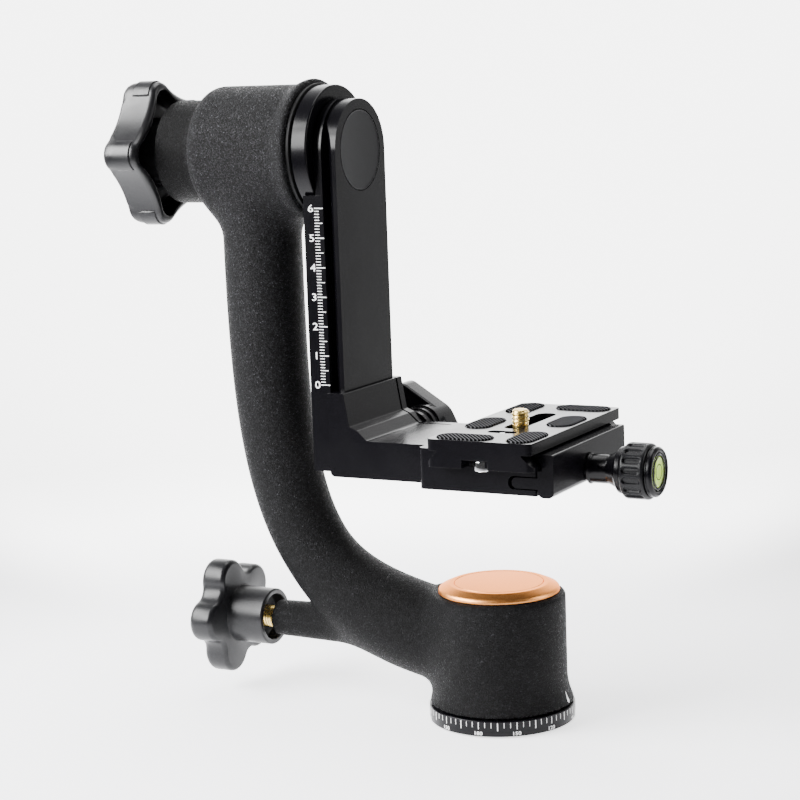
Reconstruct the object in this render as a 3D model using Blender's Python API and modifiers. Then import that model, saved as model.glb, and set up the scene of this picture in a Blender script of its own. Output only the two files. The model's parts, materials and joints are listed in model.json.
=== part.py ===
"""Gimbal head for a camera with a long lens, in metres, +Z up.

The J-shaped arm turns on the base about the pan axis. The rail hangs from the arm's upper hub on the tilt
axis, the bracket slides up and down the rail, and its clamp holds the camera plate. Places are measured
from the pan axis at the foot of the base, +X towards the clamp knob, +Y away from the near side.
"""
import math

import bmesh
import bpy
import numpy as np
from mathutils import Matrix, Vector

MM = 0.001

# Shared sizes
GAP = 0.3 * MM
OVERRUN = 4.0 * MM
ROUND_SIDES = 32
SMALL_SIDES = 20
WELD_DISTANCE = 0.00002
TOOL_TURN = 4.0
SHARP_ANGLE = 40.0
CLOSE_GAP = 0.1 * MM

# Base and pan bearing
BASE_RADIUS = 25.0 * MM
BASE_HEIGHT = 5.4 * MM
BASE_EDGE = 0.5 * MM
SOCKET_RADIUS = 4.6 * MM
INSERT_RADIUS = 7.0 * MM
INSERT_LENGTH = 12.0 * MM
INSERT_CHAMFER = 0.6 * MM
PAN_SHAFT_RADIUS = 10.0 * MM
PAN_THREAD_RADIUS = 6.0 * MM
THRUST_WASHER_RADIUS = 19.0 * MM
THRUST_WASHER_THICKNESS = 1.2 * MM
BUSH_WALL = 2.6 * MM
BUSH_FLANGE = 2.2 * MM
BUSH_FLANGE_THICKNESS = 1.5 * MM
BUSH_LENGTH = 8.0 * MM
RETAINER_RADIUS = 14.0 * MM
RETAINER_THICKNESS = 1.5 * MM
NUT_WIDTH = 19.0 * MM
NUT_HEIGHT = 3.0 * MM

# Lower hub and its cap
HUB_RADIUS = 22.6 * MM
HUB_FOOT = 6.0 * MM
HUB_TOP = 44.0 * MM
HUB_EDGE = 1.6 * MM
FOOT_FLARE = 2.2 * MM
FOOT_FLARE_HEIGHT = 10.0 * MM
CAP_RADIUS = 21.0 * MM
CAP_TOP = 47.1 * MM
CAP_FLAT_RADIUS = 17.2 * MM
CAP_SPIGOT_RADIUS = 19.0 * MM
CAP_SPIGOT_DEPTH = 3.4 * MM
CAP_WALL = 1.6 * MM
CAP_RIM_SHARE = 0.2

# Arm
ARM_REACH = 87.9 * MM
ARM_TOP_RADIUS = 13.8 * MM
ARM_WAIST_RADIUS = 12.6 * MM
ARM_FOOT_RADIUS = 16.6 * MM
ARM_WAIST_SHARE = 0.62
BEND_TOP = 162.0 * MM
BEND_DROP = 81.0 * MM
BEND_FOOT_REACH = 29.0 * MM
BEND_FOOT_HEIGHT = 29.6 * MM
BEND_FOOT_HANDLE = 56.8 * MM
BEND_FOOT_SLOPE = 13.0
BEND_POINTS = 15

# Upper hub and its neck
TILT_HEIGHT = 193.85 * MM
TILT_HUB_RIGHT = -63.9 * MM
TILT_HUB_LEFT = -105.6 * MM
TILT_FLARE_RADIUS = 24.4 * MM
TILT_FLARE_LENGTH = 6.0 * MM
TILT_FLARE_EDGE = 0.8 * MM
NECK_RADIUS = 18.0 * MM
NECK_END = -119.8 * MM

# Tilt spindle and its ball bearings
SPINDLE_RADIUS = 6.0 * MM
SPINDLE_THREAD_RADIUS = 5.0 * MM
BEARING_RADIUS = 14.0 * MM
BEARING_WIDTH = 8.0 * MM
RING_THICKNESS = 2.6 * MM
RACE_DEPTH = 0.9 * MM
BALL_RADIUS = 1.7 * MM
BALL_COUNT = 8
CAGE_THICKNESS = 1.3 * MM
CAGE_WIDTH = 2.4 * MM
SPACER_WALL = 1.6 * MM
HUB_BORE_RADIUS = 11.0 * MM
FRICTION_WASHER_THICKNESS = 1.3 * MM
FRICTION_WASHER_RADIUS = 22.9 * MM
FRICTION_WASHER_BORE = 9.0 * MM
PRESSURE_WASHER_THICKNESS = 1.3 * MM
PRESSURE_WASHER_RADIUS = 13.0 * MM

# Tilt knob
TILT_KNOB_LOBES = 5
TILT_LOBE_CIRCLE = 17.9 * MM
TILT_LOBE_RADIUS = 8.4 * MM
TILT_KNOB_WAIST = 20.4 * MM
TILT_KNOB_THICKNESS = 14.0 * MM
TILT_KNOB_SEAT = 0.8 * MM
TILT_KNOB_HUB_RADIUS = 12.0 * MM
TILT_POCKET_RADIUS = 5.2 * MM
TILT_POCKET_DEPTH = 8.0 * MM
TILT_POCKET_OVERRUN = 0.5 * MM
TILT_INSERT_RADIUS = 8.0 * MM
TILT_INSERT_LENGTH = 9.6 * MM
KNOB_EDGE = 1.6 * MM

# Swinging rail
DISC_RIGHT = -56.1 * MM
DISC_LEFT = -62.0 * MM
DISC_RADIUS = 22.2 * MM
FLANGE_BACK = -58.7 * MM
FLANGE_FRONT = -52.5 * MM
FLANGE_HALF = 18.25 * MM
FLANGE_TOP = 179.5 * MM
FLANGE_SKIN = 0.8 * MM
RAIL_FACE = -47.5 * MM
RAIL_HALF = 17.35 * MM
RAIL_EDGE_THICKNESS = 1.5 * MM
RAIL_GROOVE_DEPTH = 2.5 * MM
INLAY_RADIUS = 13.6 * MM
INLAY_THICKNESS = 1.1 * MM
SPINDLE_SOCKET_DEPTH = 4.8 * MM
SPINDLE_SCREW_RADIUS = 3.0 * MM
SPINDLE_SCREW_HEAD = 5.0 * MM
SPINDLE_SCREW_HEAD_HEIGHT = 3.8 * MM
SPINDLE_SCREW_LENGTH = 14.0 * MM
HEX_SOCKET_RADIUS = 2.4 * MM
HEX_SOCKET_DEPTH = 2.0 * MM
RAIL_RISE = 1.2 * MM

# Bracket; a rise is measured up from the bracket's foot
BRACKET_FOOT = 84.3 * MM
BRACKET_HALF = 21.0 * MM
BRACKET_HEIGHT = 28.7 * MM
PLATFORM_RISE = 12.9 * MM
UPRIGHT_TIP_THICKNESS = 1.1 * MM
UPRIGHT_LEAN = 1.9 * MM
UPRIGHT_RISE = 17.5 * MM
STEP_LEDGE = 2.6 * MM
STEP_LEDGE_DROP = 1.3 * MM
STEP_RUN = 4.6 * MM
SLIT_WIDTH = 1.05 * MM
SLIT_END = -25.0 * MM
STOP_SCREW_RADIUS = 1.6 * MM
STOP_SCREW_RISE = 4.1 * MM
STOP_SCREW_STAND = 1.2 * MM
STOP_SCREW_DEPTH = 4.0 * MM

# Height lock
LOCK_X = -42.3 * MM
LOCK_RISE = 9.7 * MM
LOCK_SCREW_RADIUS = 3.0 * MM
LOCK_SCREW_START = 4.3 * MM
LOCK_WASHER_RADIUS = 6.5 * MM
LOCK_WASHER_THICKNESS = 1.2 * MM
LOCK_HUB_RADIUS = 7.6 * MM
LOCK_COLLAR_LENGTH = 8.2 * MM
LOCK_WING_THICKNESS = 10.0 * MM
LOCK_WING_REACH = 14.6 * MM
LOCK_WING_TIP = 3.6 * MM
LOCK_WING_ANGLE = 132.0
LOCK_WALL = 2.8 * MM

# Clamp, its jaw and its knob
CLAMP_SIDE = 5.05 * MM
CLAMP_END_INSET = 1.75 * MM
CLAMP_LIP = 4.8 * MM
JAW_REACH = 4.25 * MM
JAW_DROP = 0.4 * MM
JAW_ROUND = 2.0 * MM
TONGUE_RISE = 5.9 * MM
TONGUE_THICKNESS = 3.6 * MM
TONGUE_LENGTH = 9.1 * MM
TONGUE_ROOM = 0.45 * MM
JAW_TRAVEL = 3.0 * MM
CLAMP_SCREW_RADIUS = 2.5 * MM
CLAMP_SCREW_START = 5.0 * MM
CLAMP_AXIS_RISE = 4.2 * MM
CLAMP_NECK_RADIUS = 4.85 * MM
CLAMP_NECK_LENGTH = 9.9 * MM
CLAMP_ROOT_FLARE = 1.0 * MM
CLAMP_LIP_EDGE = 0.5 * MM
CLAMP_WASHER_RADIUS = 8.0 * MM
CLAMP_WASHER_LENGTH = 3.2 * MM
GRIP_RADIUS = 9.3 * MM
GRIP_WALL = 1.7 * MM
GRIP_LENGTH = 8.4 * MM
GRIP_SLOTS = 16
GRIP_SLOT_DEPTH = 0.7 * MM
BEZEL_RADIUS = 8.3 * MM
BEZEL_LENGTH = 2.3 * MM
BEZEL_EDGE = 0.5 * MM
BEZEL_FLOOR = 1.4 * MM
VIAL_RADIUS = 6.1 * MM
VIAL_WALL = 0.7 * MM
VIAL_FLOOR = 0.9 * MM
LENS_THICKNESS = 1.0 * MM

# Camera plate
PLATE_X = 11.45 * MM
PLATE_Y = 0.8 * MM
PLATE_RISE = 8.9 * MM
PLATE_HEIGHT = 9.2 * MM
PLATE_LENGTH = 74.6 * MM
PLATE_CORNER = 3.0 * MM
DOVETAIL_WIDTH = 38.0 * MM
PLATE_NARROWING = 1.0 * MM
DOVETAIL_LIP = 1.2 * MM
DOVETAIL_DEPTH = 4.0 * MM
PLATE_FLANGE = 3.8 * MM
SLOT_WIDTH = 6.9 * MM
SLOT_START = -12.3 * MM
SLOT_FINISH = 19.5 * MM
POCKET_WIDTH = 17.0 * MM
POCKET_DEPTH = 5.0 * MM
CROSS_SLOT_Y = -18.8 * MM
CROSS_SLOT_LENGTH = 10.2 * MM
CROSS_SLOT_WIDTH = 4.2 * MM
CROSS_SLOT_DEPTH = 3.0 * MM
PIN_RADIUS = 1.2 * MM
PIN_HEIGHT = 2.4 * MM
PAD_LENGTH = 19.4 * MM
PAD_WIDTH = 9.0 * MM
PAD_STAND = 0.5 * MM
PAD_DEPTH = 0.9 * MM
PAD_SIDE_INSET = 6.0 * MM
PAD_SIDE_MARGIN = 10.9 * MM
PAD_MIDDLE_Y = 5.2 * MM
PAD_END_INSET = 11.2 * MM
PAD_END_MARGIN = 5.9 * MM
NOTCH_WIDTH = 9.4 * MM
NOTCH_SHIFT = -1.5 * MM
NOTCH_HEIGHT = 2.9 * MM
STOP_INSET = 3.2 * MM
STOP_RADIUS = 2.9 * MM
STOP_DROP = 1.0 * MM
STOP_HEIGHT = 2.5 * MM
STOP_ROOM = 1.2 * MM
CAMERA_SCREW_Y = -4.4 * MM
CAMERA_SCREW_RADIUS = 3.15 * MM
CAMERA_SCREW_STAND = 5.3 * MM
CAMERA_THREAD_DEPTH = 0.45 * MM
CAMERA_THREAD_PITCH = 1.27 * MM
CAMERA_HEAD_RADIUS = 7.8 * MM
CAMERA_HEAD_HEIGHT = 3.0 * MM
CLIP_RADIUS = 6.6 * MM
CLIP_THICKNESS = 0.8 * MM

# Pan lock
BOSS_Z = 26.7 * MM
BOSS_END = -88.0 * MM
BOSS_END_RADIUS = 6.3 * MM
BOSS_ROOT_RADIUS = 7.1 * MM
BOSS_ROOT = -40.0 * MM
ROD_RADIUS = 4.0 * MM
SHOE_RADIUS = 3.9 * MM
SHOE_LENGTH = 5.0 * MM
PAN_COLLAR_END = -89.8 * MM
PAN_COLLAR_LENGTH = 14.2 * MM
PAN_COLLAR_RADIUS = 10.1 * MM
PAN_COLLAR_RECESS = 5.0 * MM
PAN_COLLAR_WALL = 1.9 * MM
PAN_KNOB_LOBES = 5
PAN_LOBE_CIRCLE = 14.0 * MM
PAN_LOBE_RADIUS = 7.2 * MM
PAN_KNOB_WAIST = 15.6 * MM
PAN_KNOB_THICKNESS = 9.7 * MM
PAN_KNOB_ROD_ROOM = 4.0 * MM

# Places that follow from the sizes above
HUB_RECESS_FLOOR = HUB_TOP - CAP_SPIGOT_DEPTH - GAP
PRESSURE_WASHER_LEFT = NECK_END - GAP - PRESSURE_WASHER_THICKNESS
TILT_KNOB_RIGHT = PRESSURE_WASHER_LEFT - GAP - TILT_KNOB_SEAT
TILT_KNOB_LEFT = TILT_KNOB_RIGHT - TILT_KNOB_THICKNESS
RAIL_BACK_EDGE = RAIL_FACE - RAIL_EDGE_THICKNESS
RAIL_WEB_FRONT = RAIL_BACK_EDGE - RAIL_GROOVE_DEPTH
RAIL_WEB_HALF = RAIL_HALF - RAIL_GROOVE_DEPTH
RAIL_FOOT = BRACKET_FOOT + RAIL_RISE
BRACKET_BACK = FLANGE_FRONT + GAP
BRACKET_TOP = BRACKET_FOOT + BRACKET_HEIGHT
PLATFORM_TOP = BRACKET_FOOT + PLATFORM_RISE
UPRIGHT_ROOT = BRACKET_FOOT + UPRIGHT_RISE
STOP_SCREW_HEIGHT = BRACKET_FOOT + STOP_SCREW_RISE
LOCK_Z = BRACKET_FOOT + LOCK_RISE
CHANNEL_FACE = RAIL_FACE + GAP
CHANNEL_HALF = RAIL_HALF + GAP
UPRIGHT_TIP = CHANNEL_FACE + UPRIGHT_TIP_THICKNESS
UPRIGHT_BASE = UPRIGHT_TIP + UPRIGHT_LEAN
LOCK_SEAT = BRACKET_HALF + GAP
LOCK_COLLAR_START = LOCK_SEAT + LOCK_WASHER_THICKNESS + GAP
LOCK_WING_START = LOCK_COLLAR_START + LOCK_COLLAR_LENGTH
LOCK_END = LOCK_WING_START + LOCK_WING_THICKNESS
PLATE_LEFT = PLATE_X - DOVETAIL_WIDTH / 2
PLATE_RIGHT = PLATE_X + DOVETAIL_WIDTH / 2
PLATE_FOOT = BRACKET_FOOT + PLATE_RISE
PLATE_TOP = PLATE_FOOT + PLATE_HEIGHT
PLATE_WIDTH = DOVETAIL_WIDTH - PLATE_NARROWING
PLATE_NECK_TOP = PLATE_TOP - PLATE_FLANGE
DOVETAIL_TOP = PLATE_FOOT + DOVETAIL_LIP + DOVETAIL_DEPTH
PAD_SIDE_X = PLATE_WIDTH / 2 - PAD_SIDE_INSET
PAD_SIDE_Y = PLATE_LENGTH / 2 - PAD_SIDE_MARGIN
PAD_END_X = PAD_END_INSET - PLATE_WIDTH / 2
PAD_END_Y = PAD_END_MARGIN - PLATE_LENGTH / 2
CLAMP_HALF = PLATE_LENGTH / 2 - STOP_INSET - STOP_RADIUS - STOP_ROOM
CLAMP_LEFT = PLATE_LEFT - CLAMP_SIDE
CLAMP_RIGHT = PLATE_RIGHT - CLAMP_END_INSET
CLAMP_TOP = PLATE_FOOT + CLAMP_LIP
CLAMP_FLOOR = PLATE_FOOT - GAP
CLAMP_AXIS_Z = BRACKET_FOOT + CLAMP_AXIS_RISE
JAW_RIGHT = PLATE_RIGHT + JAW_REACH
JAW_FOOT = BRACKET_FOOT - JAW_DROP
JAW_GAP = GAP * math.sqrt(2)
TONGUE_TOP = BRACKET_FOOT + TONGUE_RISE
CLAMP_CORE_START = JAW_RIGHT + GAP
GRIP_START = CLAMP_CORE_START + CLAMP_NECK_LENGTH + CLAMP_WASHER_LENGTH
GRIP_END = GRIP_START + GRIP_LENGTH
BEZEL_END = GRIP_END + GAP + BEZEL_LENGTH
SPIGOT_RADIUS = GRIP_RADIUS - GRIP_WALL - GAP
CORE_END = GRIP_START + GRIP_LENGTH / 2
PAN_KNOB_RIGHT = PAN_COLLAR_END - PAN_COLLAR_LENGTH
PAN_KNOB_LEFT = PAN_KNOB_RIGHT - PAN_KNOB_THICKNESS
PLATE_NEAR = PLATE_Y - PLATE_LENGTH / 2
SHIFT_X = -(TILT_KNOB_LEFT + BEZEL_END) / 2
SHIFT_Y = -(PLATE_NEAR + LOCK_END) / 2


def make_collection(name):
    collection = bpy.data.collections.new(name)
    bpy.context.scene.collection.children.link(collection)
    return collection


for old in list(bpy.data.objects):
    bpy.data.objects.remove(old, do_unlink=True)
PARTS = make_collection("gimbal_head")
TOOLS = make_collection("cutters")
ORIGIN = bpy.data.objects.new("gimbal_head_origin", None)
ORIGIN.location = (SHIFT_X, SHIFT_Y, 0)
PARTS.objects.link(ORIGIN)


def make_material(name, colour, roughness, metallic):
    material = bpy.data.materials.new(name)
    material.use_nodes = True
    shader = material.node_tree.nodes["Principled BSDF"]
    shader.inputs["Base Color"].default_value = (*colour, 1)
    shader.inputs["Roughness"].default_value = roughness
    shader.inputs["Metallic"].default_value = metallic
    return material


CRINKLE_BLACK = make_material("crinkle_black", (0.030, 0.030, 0.032), 0.75, 0.0)
SATIN_BLACK = make_material("satin_black", (0.035, 0.035, 0.038), 0.38, 0.6)
KNOB_BLACK = make_material("knob_black", (0.028, 0.028, 0.030), 0.42, 0.0)
RUBBER_BLACK = make_material("rubber_black", (0.020, 0.020, 0.021), 0.80, 0.0)
INLAY_GREY = make_material("inlay_grey", (0.055, 0.055, 0.057), 0.60, 0.0)
COPPER = make_material("copper_anodised", (0.80, 0.36, 0.14), 0.32, 1.0)
BRASS = make_material("brass", (0.85, 0.60, 0.22), 0.28, 1.0)
BRONZE = make_material("bronze", (0.55, 0.38, 0.18), 0.45, 1.0)
STEEL = make_material("steel", (0.60, 0.60, 0.62), 0.30, 1.0)
CHROME = make_material("chrome", (0.75, 0.75, 0.76), 0.10, 1.0)
WHITE_NYLON = make_material("white_nylon", (0.75, 0.75, 0.72), 0.55, 0.0)
CLEAR = make_material("clear_acrylic", (0.85, 0.90, 0.70), 0.08, 0.0)
LIQUID = make_material("level_liquid", (0.72, 0.90, 0.16), 0.15, 0.0)

TURNS = {
    "X": Matrix.Rotation(math.radians(90), 4, "Y"),
    "-X": Matrix.Rotation(math.radians(-90), 4, "Y"),
    "Y": Matrix.Rotation(math.radians(-90), 4, "X"),
    "Z": Matrix.Identity(4),
}

LAYS = {
    "X": Matrix(((0, 0, 1, 0), (1, 0, 0, 0), (0, 1, 0, 0), (0, 0, 0, 1))),
    "Y": Matrix.Rotation(math.radians(90), 4, "X"),
    "Z": Matrix.Identity(4),
}


def add_object(name, mesh, at, material=None):
    """A part under the head's origin, or a tool when it has no material."""
    piece = bpy.data.objects.new(name, mesh)
    piece.parent = ORIGIN
    piece.location = at
    if material:
        PARTS.objects.link(piece)
        mesh.materials.append(material)
    else:
        TOOLS.objects.link(piece)
        piece.hide_render = True
        piece.display_type = "WIRE"
    return piece


def arc(centre_u, centre_v, radius, start, finish, steps):
    """Points on a circle from one angle to another, in degrees, both ends included."""
    angles = np.radians(np.linspace(start, finish, steps + 1))
    return [(centre_u + radius * math.cos(a), centre_v + radius * math.sin(a)) for a in angles]


def signed_area(points):
    u, v = np.array(points).T
    return float(np.sum(u * np.roll(v, -1) - np.roll(u, -1) * v)) / 2


def turned(name, profile, at, along, material=None, sides=ROUND_SIDES, ring=False):
    """Turns a profile of (radius, distance from `at`) about the axis `along`; a ring's profile is closed."""
    points = profile if signed_area(profile) < 0 else profile[::-1]
    count = len(points)
    edges = [(i, i + 1) for i in range(count - 1)] + ([(count - 1, 0)] if ring else [])
    mesh = bpy.data.meshes.new(name)
    mesh.from_pydata([(r, 0, t) for r, t in points], edges, [])
    piece = add_object(name, mesh, at, material)
    turn = Matrix.Identity(4) if material else Matrix.Rotation(math.radians(TOOL_TURN), 4, "Z")
    piece.rotation_euler = (TURNS[along] @ turn).to_euler()
    screw = piece.modifiers.new("turn", "SCREW")
    screw.steps = screw.render_steps = sides
    screw.use_merge_vertices = True
    screw.merge_threshold = WELD_DISTANCE
    screw.use_smooth_shade = True
    return piece


def tube(name, inner, outer, low, high, at, along, material=None, sides=ROUND_SIDES):
    profile = [(inner, high), (outer, high), (outer, low), (inner, low)]
    return turned(name, profile, at, along, material, sides, ring=True)


def rod(name, radius, low, high, at, along, material=None, sides=SMALL_SIDES):
    profile = [(0, high), (radius, high), (radius, low), (0, low)]
    return turned(name, profile, at, along, material, sides)


def extruded(name, outline, low, high, at, along, material=None):
    """Fills a flat outline and gives it thickness: along Y the outline is (x, z), along X (y, z)."""
    curve = bpy.data.curves.new(name, "CURVE")
    curve.dimensions = "2D"
    curve.fill_mode = "BOTH"
    curve.extrude = (high - low) / 2
    spline = curve.splines.new("POLY")
    spline.points.add(len(outline) - 1)
    for point, (u, v) in zip(spline.points, outline):
        point.co = (u, v, 0, 1)
    spline.use_cyclic_u = True
    mesh = mesh_of_curve(curve)
    middle = (high + low) / 2
    lift = Matrix.Translation((0, 0, -middle if along == "Y" else middle))
    mesh.transform(LAYS[along] @ lift)
    mesh.shade_smooth()
    mesh.set_sharp_from_angle(angle=math.radians(SHARP_ANGLE))
    return add_object(name, mesh, at, material)


def mesh_of_curve(curve):
    guide = bpy.data.objects.new(curve.name + "_guide", curve)
    TOOLS.objects.link(guide)
    graph = bpy.context.evaluated_depsgraph_get()
    mesh = bpy.data.meshes.new_from_object(guide.evaluated_get(graph))
    bpy.data.objects.remove(guide, do_unlink=True)
    mesh.materials.clear()
    weld(mesh)
    return mesh


def weld(mesh):
    shape = bmesh.new()
    shape.from_mesh(mesh)
    bmesh.ops.remove_doubles(shape, verts=shape.verts, dist=WELD_DISTANCE)
    bmesh.ops.recalc_face_normals(shape, faces=shape.faces)
    shape.to_mesh(mesh)
    shape.free()


def block(name, low, high, at, material=None):
    """A box between two corners, given from `at`."""
    low, high = Vector(low), Vector(high)
    shape = bmesh.new()
    bmesh.ops.create_cube(shape, size=1)
    bmesh.ops.scale(shape, vec=high - low, verts=shape.verts)
    bmesh.ops.translate(shape, vec=(low + high) / 2, verts=shape.verts)
    mesh = bpy.data.meshes.new(name)
    shape.to_mesh(mesh)
    shape.free()
    return add_object(name, mesh, at, material)


def combine(piece, tool, operation):
    modifier = piece.modifiers.new(f"{operation.lower()}_{tool.name}", "BOOLEAN")
    modifier.operation = operation
    modifier.solver = "EXACT"
    modifier.object = tool
    seal = piece.modifiers.new(f"weld_{tool.name}", "WELD")
    seal.merge_threshold = WELD_DISTANCE / 2


def cut(piece, *tools):
    for tool in tools:
        combine(piece, tool, "DIFFERENCE")


def join(piece, *tools):
    for tool in tools:
        combine(piece, tool, "UNION")


def bevel(piece, width, segments=1):
    modifier = piece.modifiers.new("edge", "BEVEL")
    modifier.width = width
    modifier.segments = segments
    modifier.limit_method = "ANGLE"
    modifier.angle_limit = math.radians(SHARP_ANGLE)


def star_outline(lobes, lobe_circle, lobe_radius, waist, first=180.0):
    """Round lobes on a circle, joined by hollow arcs that touch both neighbours and come in to the waist."""
    half = math.pi / lobes
    hollow = (
        lobe_radius**2 - lobe_circle**2 - waist**2 + 2 * lobe_circle * waist * math.cos(half)
    ) / (2 * (waist - lobe_circle * math.cos(half) - lobe_radius))
    reach = waist + hollow
    across = lobe_circle * math.sin(half)
    along = reach - lobe_circle * math.cos(half)
    lean = math.degrees(math.atan2(across, along))
    points = []
    for index in range(lobes):
        middle = first + index * 360 / lobes
        angle = math.radians(middle)
        swing = math.degrees(half) + lean
        centre = (lobe_circle * math.cos(angle), lobe_circle * math.sin(angle))
        points += arc(*centre, lobe_radius, middle - swing, middle + swing, 6)
        angle = math.radians(middle) + half
        centre = (reach * math.cos(angle), reach * math.sin(angle))
        turn = math.degrees(angle) + 180
        points += arc(*centre, hollow, turn + lean, turn - lean, 4)[1:-1]
    return points


def stadium(length, width, centre_u=0.0, centre_v=0.0, along_u=True, steps=6):
    """A slot's outline: two half circles joined by straight sides."""
    radius, shift = width / 2, (length - width) / 2
    if along_u:
        return arc(centre_u + shift, centre_v, radius, -90, 90, steps) + arc(
            centre_u - shift, centre_v, radius, 90, 270, steps
        )
    return arc(centre_u, centre_v + shift, radius, 0, 180, steps) + arc(
        centre_u, centre_v - shift, radius, 180, 360, steps
    )


def rounded_box(half_u, half_v, radius, steps=3):
    corners = ((1, 1, 0), (-1, 1, 90), (-1, -1, 180), (1, -1, 270))
    points = []
    for side_u, side_v, start in corners:
        centre = (side_u * (half_u - radius), side_v * (half_v - radius))
        points += arc(*centre, radius, start, start + 90, steps)
    return points


PAN_AXIS = (0, 0, 0)
TILT_AXIS = (0, 0, TILT_HEIGHT)
CLAMP_AXIS = (0, 0, CLAMP_AXIS_Z)
LOCK_AXIS = (LOCK_X, 0, LOCK_Z)
BOSS_AXIS = (0, 0, BOSS_Z)


def make_base():
    """The dial disc with its steel tripod thread, and the shaft that the arm turns on."""
    edge = BASE_EDGE
    bore = INSERT_RADIUS + GAP
    turned(
        "base_dial",
        [(bore, BASE_HEIGHT), (BASE_RADIUS - edge, BASE_HEIGHT), (BASE_RADIUS, BASE_HEIGHT - edge),
         (BASE_RADIUS, edge), (BASE_RADIUS - edge, 0), (bore, 0)],
        PAN_AXIS, "Z", SATIN_BLACK, 40, ring=True,
    )
    turned(
        "tripod_thread_insert",
        [(SOCKET_RADIUS, INSERT_LENGTH), (INSERT_RADIUS, INSERT_LENGTH), (INSERT_RADIUS, 0),
         (SOCKET_RADIUS + INSERT_CHAMFER, 0), (SOCKET_RADIUS, INSERT_CHAMFER)],
        PAN_AXIS, "Z", STEEL, 24, ring=True,
    )
    low = BASE_HEIGHT + GAP
    shoulder = HUB_RECESS_FLOOR - GAP
    top = shoulder + RETAINER_THICKNESS + 2 * GAP + NUT_HEIGHT
    turned(
        "pan_shaft",
        [(0, top), (PAN_THREAD_RADIUS, top), (PAN_THREAD_RADIUS, shoulder), (PAN_SHAFT_RADIUS, shoulder),
         (PAN_SHAFT_RADIUS, low), (INSERT_RADIUS + GAP, low),
         (INSERT_RADIUS + GAP, INSERT_LENGTH + GAP), (0, INSERT_LENGTH + GAP)],
        PAN_AXIS, "Z", STEEL,
    )
    washer_high = low + THRUST_WASHER_THICKNESS
    tube("pan_thrust_washer", PAN_SHAFT_RADIUS + GAP, THRUST_WASHER_RADIUS, low, washer_high, PAN_AXIS, "Z",
         WHITE_NYLON)
    washer_low = shoulder + GAP
    tube("pan_retaining_washer", PAN_THREAD_RADIUS + GAP, RETAINER_RADIUS, washer_low,
         washer_low + RETAINER_THICKNESS, PAN_AXIS, "Z", STEEL, 24)
    nut_low = washer_low + RETAINER_THICKNESS + GAP
    hexagon = arc(0, 0, NUT_WIDTH / math.sqrt(3), 0, 300, 5)
    nut_high = nut_low + NUT_HEIGHT - GAP
    nut = extruded("pan_retaining_nut", hexagon, nut_low, nut_high, PAN_AXIS, "Z", STEEL)
    nut_bore = PAN_THREAD_RADIUS + GAP
    cut(nut, rod("pan_nut_bore", nut_bore, nut_low - OVERRUN, nut_high + OVERRUN, PAN_AXIS, "Z"))


def arm_path():
    """The arm's middle line: straight down from the tilt axis, then one smooth bend into the lower hub."""
    slope = math.radians(BEND_FOOT_SLOPE)
    top = np.array([-ARM_REACH, BEND_TOP])
    foot = np.array([-BEND_FOOT_REACH, BEND_FOOT_HEIGHT])
    pull_top = top - [0, BEND_DROP]
    pull_foot = foot + [-BEND_FOOT_HANDLE * math.cos(slope), BEND_FOOT_HANDLE * math.sin(slope)]
    points = [(-ARM_REACH, TILT_HEIGHT)]
    for share in np.linspace(0, 1, BEND_POINTS):
        rest = 1 - share
        points.append(
            rest**3 * top + 3 * rest**2 * share * pull_top
            + 3 * rest * share**2 * pull_foot + share**3 * foot
        )
    points.append(foot + [ARM_FOOT_RADIUS, -ARM_FOOT_RADIUS * math.tan(slope)])
    return points


def arm_radius(share):
    """Slim at the waist, with smooth swells towards both hubs."""
    if share < ARM_WAIST_SHARE:
        rise = share / ARM_WAIST_SHARE
        return ARM_TOP_RADIUS + (ARM_WAIST_RADIUS - ARM_TOP_RADIUS) * rise * rise * (3 - 2 * rise)
    rise = (share - ARM_WAIST_SHARE) / (1 - ARM_WAIST_SHARE)
    return ARM_WAIST_RADIUS + (ARM_FOOT_RADIUS - ARM_WAIST_RADIUS) * rise * rise * (3 - 2 * rise)


def arm_tube():
    path = arm_path()
    curve = bpy.data.curves.new("arm_tube", "CURVE")
    curve.dimensions = "3D"
    curve.bevel_depth = ARM_TOP_RADIUS
    curve.bevel_resolution = 6
    curve.use_fill_caps = True
    spline = curve.splines.new("POLY")
    spline.points.add(len(path) - 1)
    for index, (point, (x, z)) in enumerate(zip(spline.points, path)):
        point.co = (x, 0, z, 1)
        point.radius = arm_radius(max(index - 1, 0) / (len(path) - 2)) / ARM_TOP_RADIUS
    return add_object("arm_tube", mesh_of_curve(curve), (0, 0, 0))


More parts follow.
